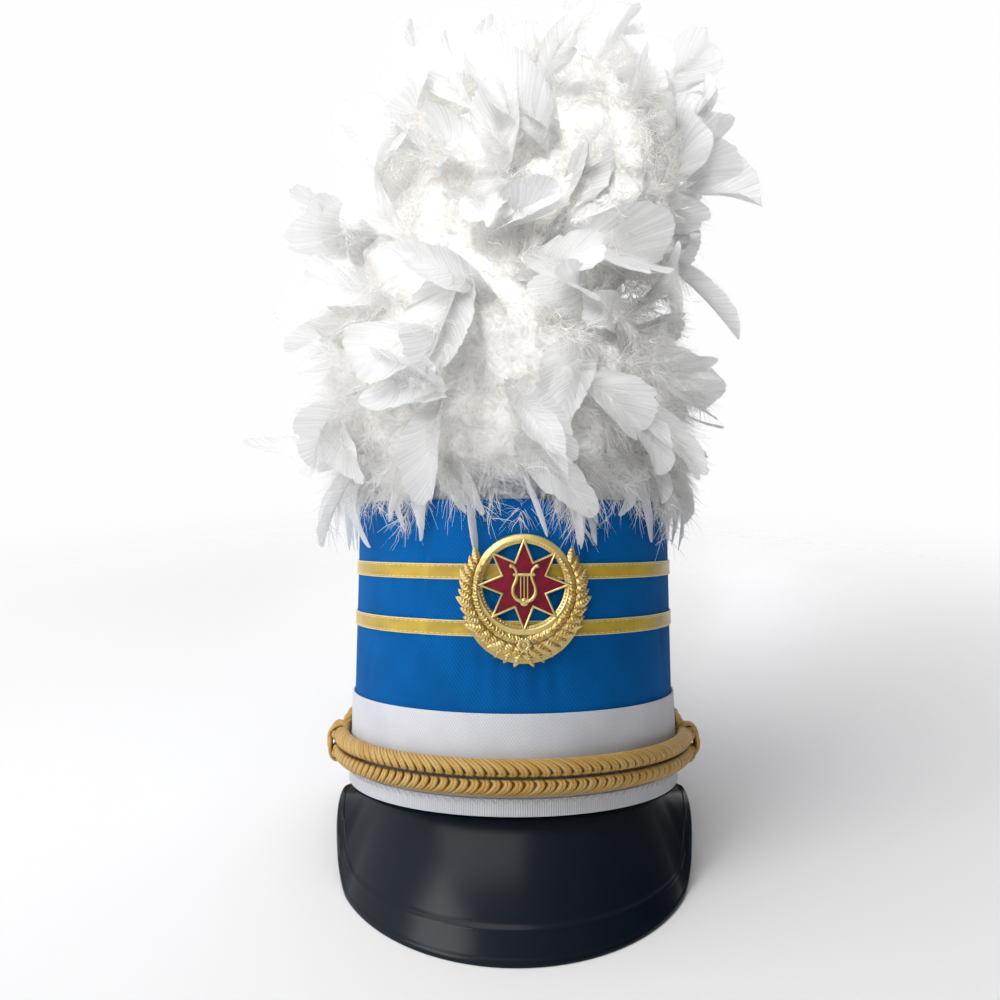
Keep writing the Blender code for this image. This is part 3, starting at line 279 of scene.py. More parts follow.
# What follows from the sizes above
BAND_FACE = CLEARANCE + BAND_THICK
STRIPE_FACE = CLEARANCE + STRIPE_THICK
STRAND_SHIFT = CORD_RADIUS + STRAND_GAP / 2
CORD_FACE = BAND_FACE + CLEARANCE + CORD_RADIUS
SLIDE_FACE = CORD_FACE + SLIDE_WALL + SLIDE_PLAY
LOOP_FACE = BAND_FACE + CLEARANCE + CORD_RADIUS * LOOP_THIN
CORD_SWEEP = HEAD_HALF_LENGTH + CROWN_WALL + CORD_FACE  # radius that the cord turns at beside the slides
RING_INNER = RING_RADIUS - RING_WIDTH
BACK_FACE = HEAD_HALF_LENGTH + CROWN_WALL + 2 * CLEARANCE + BAND_THICK + RIBBON_THICK
BACK_REACH = BACK_FACE * math.cos(math.pi / OVAL_STEPS)
REST_TILT = math.atan2(PEAK_DROP, PEAK_REACH + BACK_REACH)
WALL_LEAN = math.atan2(CROWN_TAPER, CROWN_HEIGHT)
PLUME_FOOT = CROWN_HEIGHT + CLEARANCE
LYRE_LIFT = STAR_RISE - ENAMEL_SINK + ENAMEL_RISE + CLEARANCE + LYRE_WIRE


def hat_frame():
    """Where the hat's own frame stands, from the record's mount on the back of the rim."""
    rim = frame["record"]["mounts"][0]
    right = Vector((1, 0, 0))
    up = -Vector(rim["axis"]).normalized()
    back = up.cross(right)
    middle_back = (HEAD_HALF_LENGTH + CROWN_WALL / 2) * math.cos(math.pi / OVAL_STEPS) * MM
    matrix = Matrix((right, back, up)).transposed().to_4x4()
    matrix.translation = Vector(rim["pos_m"]) - back * middle_back
    return matrix


HAT = hat_frame()
HAT_MM = HAT @ Matrix.Scale(MM, 4)


def smooth(share):
    """Eases shares between 0 and 1."""
    share = np.clip(share, 0, 1)
    return share * share * (3 - 2 * share)


def unit(vectors):
    """Vectors scaled to length 1."""
    return vectors / np.maximum(np.linalg.norm(vectors, axis=-1, keepdims=True), 1e-9)


def dot(a, b):
    """Dot products of two arrays of vectors, kept as a last axis of 1."""
    return (a * b).sum(-1, keepdims=True)


def eased(keys, values, at):
    """Values of a table at some keys, eased between its rows."""
    keys, values, at = np.asarray(keys), np.asarray(values), np.asarray(at, float)
    row = np.clip(np.searchsorted(keys, at) - 1, 0, len(keys) - 2)
    share = smooth((at - keys[row]) / (keys[row + 1] - keys[row]))
    return values[row] * (1 - share) + values[row + 1] * share


def flowing(keys, values, at):
    """A smooth curve through a table's points, which never swings past them."""
    keys, values = np.array(keys), np.array(values)
    wide = np.diff(keys)
    steps = np.diff(values) / wide
    before, after = steps[:-1], steps[1:]
    turning = before * after <= 0
    middle = 2 * before * after / np.where(turning, 1.0, before + after)
    slopes = np.concatenate([steps[:1], np.where(turning, 0.0, middle), steps[-1:]])
    i = np.clip(np.searchsorted(keys, at) - 1, 0, len(wide) - 1)
    t = (at - keys[i]) / wide[i]
    ends = values[i] * (1 + 2 * t) * (1 - t) ** 2 + values[i + 1] * t * t * (3 - 2 * t)
    return ends + wide[i] * t * (1 - t) * (slopes[i] * (1 - t) - slopes[i + 1] * t)


def turn_gap(a, b):
    """Differences between angles in degrees, from -180 to 180."""
    return (a - b + 180) % 360 - 180


def round_angles(count):
    """Angles evenly round a circle."""
    return 2 * np.pi * np.arange(count) / count


def ridge(places, middle, spread):
    """A smooth ridge of height 1 across some places."""
    return np.exp(-(((places - middle) / spread) ** 2))


# A patch of surface: its points in mm, the corners of its faces one after the other, the number of corners
# of each face, and the place of each corner on the flat surface, in mm
Patch = namedtuple("Patch", "points corners sizes places")


def lattice(points, u, v, round_columns=False, round_rows=False):
    """Quads over a grid of points (..., rows, columns, 3), with places u along a row and v down a column.

    A round direction joins its end to its start, and its places have one more entry than its points.
    """
    points = np.asarray(points, float)
    lead = points.shape[:-3]
    rows, columns = points.shape[-3:-1]
    count = int(np.prod(lead))
    down = rows if round_rows else rows - 1
    across = columns if round_columns else columns - 1
    i, j = (grid.ravel() for grid in np.meshgrid(np.arange(down), np.arange(across), indexing="ij"))
    corner_rows = np.stack([i, i, i + 1, i + 1], 1)
    corner_columns = np.stack([j, j + 1, j + 1, j], 1)
    quads = (corner_rows % rows) * columns + corner_columns % columns
    quads = quads[None] + (np.arange(count) * rows * columns)[:, None, None]
    places = []
    for place in (u, v):
        full = np.broadcast_to(place, (*lead, down + 1, across + 1)).reshape(count, down + 1, across + 1)
        places.append(full[:, corner_rows, corner_columns])
    sizes = np.full(count * len(i), 4)
    return Patch(points.reshape(-1, 3), quads.ravel(), sizes, np.stack(places, -1).reshape(-1, 2))


def lid(loop):
    """One flat face over a loop of points."""
    count = len(loop)
    return Patch(np.asarray(loop, float), np.arange(count), np.array([count]), np.zeros((count, 2)))


def run_lengths(points):
    """Distances along a line of points from its start."""
    steps = np.linalg.norm(np.diff(points, axis=-2), axis=-1)
    return np.concatenate([np.zeros((*steps.shape[:-1], 1)), np.cumsum(steps, -1)], -1)


def tubes(paths, radii, up, sides=6, closed=False, flat=1.0):
    """Tubes along paths (..., points, 3). up is a direction off the surface that the tubes lie on.

    An open tube has rounded ends, and flat is its thickness along up as a share of its width.
    """
    paths = np.asarray(paths, float)
    radii = np.broadcast_to(radii, paths.shape[:-1])
    up = np.broadcast_to(up, paths.shape)
    if closed:
        along = np.roll(paths, -1, -2) - np.roll(paths, 1, -2)
    else:
        along = np.gradient(paths, axis=-2)
    side = unit(np.cross(along, up))
    lift = unit(np.cross(side, along))
    if not closed:
        beyond = unit(along) * radii[..., None] * 0.7
        start, stop = paths[..., :1, :] - beyond[..., :1, :], paths[..., -1:, :] + beyond[..., -1:, :]
        paths = np.concatenate([start, paths, stop], -2)
        ends = ((grid[..., :1, :], grid, grid[..., -1:, :]) for grid in (side, lift))
        side, lift = (np.concatenate(parts, -2) for parts in ends)
        point = np.full((*radii.shape[:-1], 1), 0.02)
        radii = np.concatenate([point, radii, point], -1)
    angles = round_angles(sides)
    ring = side[..., None, :] * np.cos(angles)[:, None] + lift[..., None, :] * np.sin(angles)[:, None] * flat
    points = paths[..., None, :] + ring * radii[..., None, None]
    lengths = run_lengths(paths)
    if closed:
        last = lengths[..., -1:] + np.linalg.norm(paths[..., -1, :] - paths[..., 0, :], axis=-1)[..., None]
        lengths = np.concatenate([lengths, last], -1)
    around = 2 * np.pi * radii.max() * np.arange(sides + 1) / sides
    return lattice(points, around, lengths[..., None], round_columns=True, round_rows=closed)


def placed(patch, matrix):
    """A patch moved by a matrix."""
    turn = np.array(matrix.to_3x3())
    return patch._replace(points=patch.points @ turn.T + np.array(matrix.translation))


def build(name, patches, finish, nodes=(), crease=None):
    """Makes a piece of the hat from patches. It rides on the hat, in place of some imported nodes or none."""
    starts = np.cumsum([0] + [len(patch.points) for patch in patches[:-1]])
    points = np.concatenate([placed(patch, HAT_MM).points for patch in patches])
    corners = np.concatenate([patch.corners + start for patch, start in zip(patches, starts)])
    sizes = np.concatenate([patch.sizes for patch in patches])
    places = np.concatenate([patch.places for patch in patches])
    mesh = bpy.data.meshes.new(name)
    mesh.vertices.add(len(points))
    mesh.vertices.foreach_set("co", points.astype(np.float32).ravel())
    mesh.loops.add(len(corners))
    mesh.loops.foreach_set("vertex_index", corners.astype(np.int32))
    mesh.polygons.add(len(sizes))
    mesh.polygons.foreach_set("loop_start", np.cumsum(sizes).astype(np.int32) - sizes.astype(np.int32))
    mesh.update(calc_edges=True)
    layer = mesh.uv_layers.new(name="place")
    layer.data.foreach_set("uv", places.astype(np.float32).ravel())
    mesh.shade_smooth()
    if crease:
        mesh.set_sharp_from_angle(angle=math.radians(crease))
    mesh.materials.append(finish)
    piece = bpy.data.objects.new(name, mesh)
    bpy.context.scene.collection.objects.link(piece)
    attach(piece, "root")
    if nodes:
        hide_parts(*nodes)


def linear(code):
    """A linear colour from an sRGB hex code."""
    shares = [int(code[i : i + 2], 16) / 255 for i in (1, 3, 5)]
    return (*(s / 12.92 if s <= 0.04045 else ((s + 0.055) / 1.055) ** 2.4 for s in shares), 1.0)


def add_node(tree, name, kind, links=None, settings=None):
    """Adds a named node with its settings. Its inputs take values, hex colours or other nodes' outputs.

    An output is written as in "bump.Normal", or with its number where several outputs share a name.
    """
    node = tree.nodes.new("ShaderNode" + kind)
    node.name = name
    for setting, value in (settings or {}).items():
        setattr(node, setting, value)
    for socket, value in (links or {}).items():
        if isinstance(value, str) and value.startswith("#"):
            value = linear(value)
        if isinstance(value, str):
            giver, output = value.split(".")
            output = int(output) if output.isdigit() else output
            tree.links.new(tree.nodes[giver].outputs[output], node.inputs[socket])
        else:
            node.inputs[socket].default_value = value


def fill_nodes(owner, end, rows):
    """Gives a material or world its nodes from rows for add_node. The last row is its surface."""
    owner.use_nodes = True
    tree = owner.node_tree
    tree.nodes.clear()
    for row in rows:
        add_node(tree, *row)
    add_node(tree, "end", end, {"Surface": rows[-1][0] + ".0"})


def material_of(name, *rows):
    """A material made of rows of nodes."""
    material = bpy.data.materials.new(name)
    fill_nodes(material, "OutputMaterial", rows)
    return material


def wave_scale(pitch):
    """The Wave Texture's scale that gives one band in each pitch of its coordinates."""
    return math.pi / (10 * pitch)


ADD = {"operation": "ADD"}
MULTIPLY = {"operation": "MULTIPLY"}
COLOURS = {"data_type": "RGBA", "clamp_factor": True}  # of a Mix node: share 0, from 6, to 7, and result 2
SMOOTHLY = {"interpolation_type": "SMOOTHSTEP"}
PLACE = ("place", "TexCoord")
SHOWN = {"Base Color": "colour.2", "Normal": "bump.Normal"}  # what most surfaces show
LET_THROUGH = 0.45  # share of the light on a feather that goes through it


def woven_twill(name, light, dark, pitch, roughness, relief):
    """Twill: wales at a steep slant that catch the light: their relief is bumped, and their raised parts are
    also painted lighter as a painted highlight. This lies over slow changes of tone from handling.

    Real wales lie 0.6 to 0.8 mm apart. They are drawn at the given pitch, which is as fine as shows here.
    """
    slant = (0, 0, math.radians(-35))
    return material_of(
        name,
        PLACE,
        ("slanted", "Mapping", {"Vector": "place.UV", "Rotation": slant}),
        (
            "wales",
            "TexWave",
            {"Vector": "slanted.0", "Scale": wave_scale(pitch), "Distortion": 0.6, "Detail": 1.0},
        ),
        ("threads", "TexNoise", {"Vector": "place.UV", "Scale": 1.3, "Detail": 2.0}),
        ("tone", "TexNoise", {"Vector": "place.UV", "Scale": 0.035, "Detail": 3.0}),
        ("height", "Math", {0: "wales.Fac", 1: "threads.Fac"}, ADD),
        ("bump", "Bump", {"Height": "height.0", "Strength": relief, "Distance": 0.00025}),
        # painted highlight: where wales and threads stand up, the colour is painted nearer the light end,
        # scaled by the random tone
        ("share", "Math", {0: "tone.Fac", 1: "height.0"}, MULTIPLY),
        ("colour", "Mix", {0: "share.0", 6: dark, 7: light}, COLOURS),
        (
            "cloth",
            "BsdfPrincipled",
            {**SHOWN, "Roughness": roughness, "IOR": 1.5, "Specular IOR Level": 0.08},
        ),
    )


def ribbed_grosgrain():
    """Grosgrain ribbon: upright ribs 1.1 mm apart, with painted shade between them that reads as fine
    vertical lines.
    """
    return material_of(
        "white_grosgrain",
        PLACE,
        ("ribs", "TexWave", {"Vector": "place.UV", "Scale": wave_scale(1.1)}, {"wave_profile": "SIN"}),
        ("soil", "TexNoise", {"Vector": "place.UV", "Scale": 0.08, "Detail": 4.0}),
        ("bump", "Bump", {"Height": "ribs.Fac", "Strength": 0.8, "Distance": 0.0003}),
        # painted shade in the hollows between the ribs, times random soiling
        ("share", "Math", {0: "ribs.Fac", 1: "soil.Fac"}, MULTIPLY),
        ("colour", "Mix", {0: "share.0", 6: "#CDD0D8", 7: "#F6F6F8"}, COLOURS),
        ("cloth", "BsdfPrincipled", {**SHOWN, "Roughness": 0.62, "IOR": 1.5}),
    )


def woven_satin():
    """Satin ribbon: long floats of yarn that give soft streaks of light, broad patches of painted glint and
    shade in the gold, and plain cream selvedges.
    """
    half = STRIPE_WIDTH / 2
    return material_of(
        "gold_satin",
        PLACE,
        ("split", "SeparateXYZ", {"Vector": "place.UV"}),
        ("away", "Math", {0: "split.Y", 1: half}, {"operation": "SUBTRACT"}),
        ("far", "Math", {0: "away.0"}, {"operation": "ABSOLUTE"}),
        ("selvedge", "MapRange", {"Value": "far.0", "From Min": half - 0.60, "From Max": half - 0.35}),
        ("long", "Mapping", {"Vector": "place.UV", "Scale": (0.12, 3.0, 1.0)}),
        ("floats", "TexNoise", {"Vector": "long.0", "Scale": 1.0, "Detail": 3.0}),
        ("broad", "Mapping", {"Vector": "place.UV", "Scale": (0.05, 0.10, 1.0)}),
        # painted glints and shade: broad patches of the gold painted lighter and darker, standing for light
        # caught by the satin
        ("glints", "TexNoise", {"Vector": "broad.0", "Scale": 1.0, "Detail": 2.0}),
        ("gold", "Mix", {0: "glints.Fac", 6: "#8C700E", 7: "#E6C444"}, COLOURS),
        ("colour", "Mix", {0: "selvedge.Result", 6: "gold.2", 7: "#ECDD98"}, COLOURS),
        ("bump", "Bump", {"Height": "floats.Fac", "Strength": 0.35, "Distance": 0.0003}),
        (
            "cloth",
            "BsdfPrincipled",
            {**SHOWN, "Roughness": 0.34, "IOR": 1.53, "Sheen Weight": 0.2, "Sheen Roughness": 0.3},
        ),
    )


def moulded_vinyl():
    """Patent vinyl over board: a smooth blue-black gloss with the faint ripple of a vacuum-formed sheet."""
    return material_of(
        "black_patent_vinyl",
        PLACE,
        ("ripple", "TexNoise", {"Vector": "place.Object", "Scale": 60.0, "Detail": 2.0}),
        ("dust", "TexNoise", {"Vector": "place.Object", "Scale": 900.0, "Detail": 2.0}),
        ("bump", "Bump", {"Height": "ripple.Fac", "Strength": 0.10, "Distance": 0.0008}),
        ("colour", "Mix", {0: "ripple.Fac", 6: "#08111C", 7: "#0D1824"}, COLOURS),
        ("rough", "MapRange", {"Value": "dust.Fac", "To Min": 0.16, "To Max": 0.30}),
        (
            "sheet",
            "BsdfPrincipled",
            {**SHOWN, "Roughness": "rough.Result", "IOR": 1.52, "Specular IOR Level": 0.22},
        ),
    )


def plied_rayon():
    """Rayon yarn: fine twisted filaments, painted bright along the plies where they turn to the light, and
    painted brown shade in the gaps.
    """
    return material_of(
        "gold_rayon_yarn",
        PLACE,
        ("leaned", "Mapping", {"Vector": "place.UV", "Rotation": (0, 0, math.radians(58))}),
        (
            "plies",
            "TexWave",
            {"Vector": "leaned.0", "Scale": wave_scale(0.55), "Distortion": 1.0, "Detail": 1.0},
        ),
        ("island", "NewGeometry"),
        ("bump", "Bump", {"Height": "plies.Fac", "Strength": 0.5, "Distance": 0.0002}),
        ("yarn", "Mix", {0: "island.Random Per Island", 6: "#E2B656", 7: "#FBDA8C"}, COLOURS),
        # painted light and shade: ambient occlusion paints the gaps between yarns dark brown, and the plies
        # are painted lighter along their ridges
        ("groove", "AmbientOcclusion", {"Distance": 0.0025}),
        ("lit", "Mix", {0: "plies.Fac", 6: "#A87426", 7: "yarn.2"}, COLOURS),
        ("colour", "Mix", {0: "groove.AO", 6: "#3A2004", 7: "lit.2"}, COLOURS),
        (
            "fibre",
            "BsdfPrincipled",
            {
                **SHOWN,
                "Roughness": 0.42,
                "IOR": 1.53,
                "Sheen Weight": 0.12,
                "Sheen Roughness": 0.35,
                "Sheen Tint": "#FFEBB8",
            },
        ),
    )


def gilt_casting():
    """Die-cast zinc with a gold wash: pale on the worn high edges, deeper and duller in the recesses, where
    the darkening is partly antiqued patina and partly painted shade.
    """
    return material_of(
        "gilt_casting",
        PLACE,
        ("grain", "TexNoise", {"Vector": "place.Object", "Scale": 700.0, "Detail": 3.0}),
        ("patches", "TexNoise", {"Vector": "place.Object", "Scale": 120.0, "Detail": 3.0}),
        ("hollow", "AmbientOcclusion", {"Distance": 0.0022}),
        ("bump", "Bump", {"Height": "grain.Fac", "Strength": 0.25, "Distance": 0.0001}),
        ("wash", "Mix", {0: "patches.Fac", 6: "#DCBC6A", 7: "#F6E4A8"}, COLOURS),
        # ambient occlusion darkens the recesses: partly antiqued patina, partly painted shade
        ("colour", "Mix", {0: "hollow.AO", 6: "#745418", 7: "wash.2"}, COLOURS),
        ("rough", "MapRange", {"Value": "patches.Fac", "To Min": 0.26, "To Max": 0.42}),
        ("metal", "BsdfPrincipled", {**SHOWN, "Metallic": 0.92, "Roughness": "rough.Result"}),
    )


def fired_enamel():
    """Dark red glass enamel over metal: a deep colour under a clear wet gloss, with tiny pits."""
    return material_of(
        "red_enamel",
        PLACE,
        ("depth", "TexNoise", {"Vector": "place.Object", "Scale": 260.0, "Detail": 3.0}),
        ("colour", "Mix", {0: "depth.Fac", 6: "#46030F", 7: "#A00E34"}, COLOURS),
        ("bump", "Bump", {"Height": "depth.Fac", "Strength": 0.08, "Distance": 0.0002}),
        (
            "glass",
            "BsdfPrincipled",
            {
                **SHOWN,
                "Roughness": 0.14,
                "IOR": 1.55,
                "Coat Weight": 0.3,
                "Coat Roughness": 0.05,
                "Specular IOR Level": 0.25,
            },
        ),
    )


def bleached_feather(name, shade, light, thin=0):
    """Bleached feather: matt white barbs that cling in strands, which let light through to the next feather.

    Barbs lie 0.5 mm apart and the strands they cling in 1 to 2 mm, along the whole web. thin is how far the
    web can be seen through between strands.
    """
    rows = [
        PLACE,
        ("stranded", "Mapping", {"Vector": "place.UV", "Scale": (0.8, 0.03, 1.0)}),
        ("strands", "TexNoise", {"Vector": "stranded.0", "Scale": 1.0, "Detail": 3.0}),
        ("barbed", "Mapping", {"Vector": "place.UV", "Scale": (1.0, 0.2, 1.0)}),
        (
            "barbs",
            "TexWave",
            {"Vector": "barbed.0", "Scale": wave_scale(0.5), "Distortion": 0.8, "Detail": 1.0},
        ),
        ("relief", "Math", {0: "strands.Fac", 1: "barbs.Fac"}, ADD),
        ("bump", "Bump", {"Height": "relief.0", "Strength": 0.10, "Distance": 0.0004}),
        ("tone", "MapRange", {"Value": "strands.Fac", "From Min": 0.30, "From Max": 0.62}),
        # the gaps between strands take the shade colour: painted shade
        ("colour", "Mix", {0: "tone.Result", 6: shade, 7: light}, COLOURS),
        ("matt", "BsdfPrincipled", {**SHOWN, "Roughness": 0.65, "IOR": 1.55, "Specular IOR Level": 0.25}),
        ("through", "BsdfTranslucent", {"Color": "colour.2", "Normal": "bump.Normal"}),
        ("both", "MixShader", {0: LET_THROUGH, 1: "matt.0", 2: "through.0"}),
    ]
    if thin:
        rows += [
            ("open", "MapRange", {"Value": "tone.Result", "To Min": thin, "To Max": thin * 0.2}),
            ("gaps", "BsdfTransparent"),
            ("sheer", "MixShader", {0: "open.Result", 1: "both.0", 2: "gaps.0"}),
        ]
    return material_of(name, *rows)


def packed_down():
    """Down packed inside the plume: soft curls 4 to 8 mm across, painted white on their tops and painted grey
    shade in the gaps.
    """
    return material_of(
        "packed_down",
        PLACE,
        ("curls", "TexNoise", {"Vector": "place.Object", "Scale": 150.0, "Detail": 5.0, "Distortion": 1.6}),
        ("bump", "Bump", {"Height": "curls.Fac", "Strength": 0.9, "Distance": 0.004}),
        ("tone", "MapRange", {"Value": "curls.Fac", "From Min": 0.35, "From Max": 0.60}),
        # painted shade: grey in the gaps between curls, white on their tops
        ("colour", "Mix", {0: "tone.Result", 6: "#E6E4DF", 7: "#FFFEFA"}, COLOURS),
        ("fluff", "BsdfPrincipled", {**SHOWN, "Roughness": 0.9, "Specular IOR Level": 0.1}),
    )


def sewing_thread(name, code):
    """Spun polyester thread: matt, with its twist just visible as painted bands of light and shade."""
    return material_of(
        name,
        PLACE,
        ("twist", "TexWave", {"Vector": "place.UV", "Scale": wave_scale(0.4)}),
        # painted highlight and shade along the twist
        ("colour", "Mix", {0: "twist.Fac", 6: code, 7: "#F5F2E6"}, COLOURS),
        ("thread", "BsdfPrincipled", {"Base Color": "colour.2", "Roughness": 0.7, "IOR": 1.5}),
    )


def studio_paper():
    """Pale seamless paper: matt, with the faintest mottle, which fades out where the backdrop begins."""
    near, far = FLOOR_FADE
    return material_of(
        "pale_paper",
        PLACE,
        ("reach", "VectorMath", {0: "place.Object"}, {"operation": "LENGTH"}),
        ("fade", "MapRange", {"Value": "reach.Value", "From Min": near, "From Max": far}, SMOOTHLY),
        ("mottle", "TexNoise", {"Vector": "place.Object", "Scale": 3.0, "Detail": 4.0}),
        ("colour", "Mix", {0: "mottle.Fac", 6: "#F6F6F7", 7: "#F9F9F9"}, COLOURS),
        ("paper", "BsdfPrincipled", {"Base Color": "colour.2", "Roughness": 0.9, "Specular IOR Level": 0.1}),
        ("clear", "BsdfTransparent"),
        ("faded", "MixShader", {0: "fade.Result", 1: "paper.0", 2: "clear.0"}),
    )


def dents(turns, heights):
    """How far the crown's cloth is pushed in."""
    total = 0.0
    for fold in (*FOLDS, *PUCKERS):
        leaned = fold.turn + fold.slant * (heights / CROWN_HEIGHT - fold.height)
        aside = turn_gap(turns, leaned) / fold.spread
        above = (heights / CROWN_HEIGHT - fold.height) / fold.tall
        total = total + fold.depth * np.exp(-aside * aside - above * above)
    return FOLD_DEPTH * total * smooth((heights - BAND_HEIGHT) / (CROWN_HEIGHT * FOLD_EASE))


def wall_normals(turns):
    """Horizontal directions out of the crown's wall."""
    angles = np.radians(turns)
    half_width, half_length = HEAD_HALF_WIDTH + CROWN_WALL, HEAD_HALF_LENGTH + CROWN_WALL
    out = [half_length * np.sin(angles), -half_width * np.cos(angles), np.zeros_like(angles)]
    return unit(np.stack(out, -1))


def wall_tangents(turns):
    """Horizontal directions along the crown's wall, towards growing turns."""
    return np.cross(UP, wall_normals(turns))


def wall_points(turns, heights, outward=0.0):
    """Points at distances out from the crown's outer face."""
    given = (np.asarray(value, float) for value in (turns, heights, outward))
    turns, heights, outward = np.broadcast_arrays(*given)
    angles = np.radians(turns)
    shrink = CROWN_WALL - CROWN_TAPER * heights / CROWN_HEIGHT
    x = (HEAD_HALF_WIDTH + shrink) * np.sin(angles)
    y = -(HEAD_HALF_LENGTH + shrink) * np.cos(angles)
    on_oval = np.stack([x, y, heights], -1)
    depth = np.where(outward > -CROWN_WALL / 2, dents(turns, heights), 0.0)
    return on_oval + wall_normals(turns) * (outward - depth)[..., None]


def round_turns():
    """Turns evenly all the way round, from the back."""
    return 360.0 * np.arange(ROUND_COLUMNS) / ROUND_COLUMNS - 180


def round_places(turns):
    """Distances along the rim for turns all the way round, with one more for the way back to the start."""
    ring = wall_points(np.append(turns, turns[0] + 360), 0.0)
    return run_lengths(ring)


def turns_at(places, outward=0.0):
    """The turns at distances along the wall's face from the front, towards the wearer's left."""
    turns = np.linspace(-200, 200, 1601)
    lengths = run_lengths(wall_points(turns, 0.0, outward))
    return np.interp(places, lengths - np.interp(0.0, turns, lengths), turns)


def strip_section(low, high, inner, outer, rows):
    """A closed cross-section of cloth with rounded edges, as heights and distances outward."""
    half, middle = (outer - inner) / 2, (outer + inner) / 2
    bend = np.radians(np.arange(30, 151, 30))
    up = np.linspace(low + half, high - half, rows)
    heights = [up, high - half + half * np.sin(bend), up[::-2], low + half - half * np.sin(bend)]
    outs = [
        np.full(rows, outer),
        middle + half * np.cos(bend),
        np.full(len(up[::-2]), inner),
        middle - half * np.cos(bend),
    ]
    return np.concatenate(heights), np.concatenate(outs)


def wrapped(heights, outs, ripple=0.0):
    """A strip swept round the crown from its closed cross-section. ripple moves its points out."""
    turns = round_turns()
    points = wall_points(turns, heights[:, None], outs[:, None] + ripple)
    v = np.append(heights, heights[0])[:, None] - heights.min()
    return lattice(points, round_places(turns), v, round_columns=True, round_rows=True)


def make_crown(cloth):
    """The crown's cloth over its shell: wall, rounded top edge, flat top and the plain inside."""
    turns = round_turns()
    bend = np.radians(np.linspace(0, 90, 7))
    rise = np.linspace(0, CROWN_HEIGHT - CROWN_EDGE, 70)
    heights = np.concatenate([rise, CROWN_HEIGHT - CROWN_EDGE * (1 - np.sin(bend[1:]))])
    outs = np.concatenate([np.zeros(len(rise)), -CROWN_EDGE * (1 - np.cos(bend[1:]))])
    seat = (np.abs(turns) < PEAK_HALF_TURN + 0.2) & (heights[:, None] < PEAK_FLANGE + CLEARANCE)
    sunk = FLANGE_SINK + PEAK_THICK + CLEARANCE
    outer = wall_points(turns, heights[:, None], np.where(seat, -sunk, outs[:, None]))
    top = shrunk_rows(outer[-1], (0.94, 0.85, 0.7, 0.5, 0.25, 0.0))
    inner_heights = np.linspace(CROWN_HEIGHT - CROWN_WALL, 0, 10)
    inner = wall_points(turns, inner_heights[:, None], -CROWN_WALL)
    under_top = shrunk_rows(inner[0], (0.0, 0.4, 0.8))
    rows = np.concatenate([under_top, inner, outer, top])
    v = run_lengths(rows[:, 0])[:, None]
    patch = lattice(rows, round_places(turns), v, round_columns=True)
    build("crown_cloth", [patch], cloth, ["crown"], crease=50)


def shrunk_rows(row, shares):
    """Copies of a ring of points, drawn towards its middle by shares."""
    middle = row.mean(0)
    return np.stack([middle + (row - middle) * share for share in shares])


def make_seam(cloth):
    """The crown's back seam: two turned edges that meet in a shallow ridge."""
    heights = np.linspace(BAND_HEIGHT - 2, CROWN_HEIGHT - CROWN_EDGE, 60)
    patches = []
    for side in (-1, 1):
        path = wall_points(180 + side * 0.45, heights, 0.05)
        patches.append(tubes(path, 0.55, wall_normals(180.0), 8, flat=0.6))
    build("crown_seam", patches, cloth)


def cloth_ripple(turns, heights):
    """Slow unevenness of the white band, which is glued on by hand."""
    angles = np.radians(turns)
    slow = np.sin(5 * angles + 0.06 * heights) + 0.7 * np.sin(11 * angles - 0.11 * heights + 1.3)
    return 0.10 * slow + 0.08 * np.sin(23 * angles + 0.21 * heights + 0.4)


def make_band(cloth):
    """The white band, with its upper edge folded under."""
    heights, outs = strip_section(0.2, BAND_HEIGHT, CLEARANCE, BAND_FACE, 34)
    turns = round_turns()
    free = smooth((heights - RIBBON_HEIGHT) / 6)[:, None] * (outs > BAND_FACE - 0.1)[:, None]
    patch = wrapped(heights, outs, cloth_ripple(turns, heights[:, None]) * free)
    build("band_cloth", [patch], cloth, ["head_band"])


def make_rim_ribbon(ribbon):
    """The grosgrain ribbon along the band's lower edge."""
    face = BAND_FACE + CLEARANCE
    heights, outs = strip_section(0, RIBBON_HEIGHT, face, face + RIBBON_THICK, 10)
    build("rim_grosgrain", [wrapped(heights, outs)], ribbon, ["rim_ribbon"])


def stitch_turns(step, long, shares):
    """The turns of stitches all the way round: one every step mm, at shares along its length."""
    length = round_places(round_turns())[-1]
    count = int(length / step)
    starts = np.arange(count) * length / count - length / 2
    return turns_at(starts[:, None] + long * shares)


def make_rim_stitches(thread):
    """A zigzag seam along the ribbon's upper edge."""
    step, reach, thick = 2.3, 1.1, 0.17
    shares = np.linspace(0, 1, 5)
    turns = stitch_turns(step, step, shares)
    side = np.where(np.arange(len(turns)) % 2, 1, -1)[:, None]
    heights = RIBBON_HEIGHT - 1.5 + side * reach * (2 * shares - 1)
    outs = BAND_FACE + CLEARANCE + RIBBON_THICK + 0.02 + 0.16 * np.sin(np.pi * shares)
    patch = tubes(wall_points(turns, heights, outs), thick, wall_normals(turns), 5)
    build("rim_stitches", [patch], thread)


def make_stripe(name, satin):
    """A gold satin ribbon, slightly cupped between its thicker selvedges."""
    middle = STRIPE_HEIGHTS[name]
    low, high = middle - STRIPE_WIDTH / 2, middle + STRIPE_WIDTH / 2
    heights, outs = strip_section(low, high, CLEARANCE, STRIPE_FACE, 14)
    across = np.abs(heights - middle) / (STRIPE_WIDTH / 2)
    cup = -0.14 * (1 - smooth((across - 0.72) / 0.12)) * (outs > STRIPE_FACE - 0.05)
    turns = round_turns()
    angles = np.radians(turns)
    wander = 0.05 * np.sin(31 * angles + middle) + 0.04 * np.sin(53 * angles + 1.0)
    patch = wrapped(heights, outs, cup[:, None] + wander * (outs > STRIPE_FACE - 0.05)[:, None])
    build(name.replace("stripe", "satin"), [patch], satin, [name])


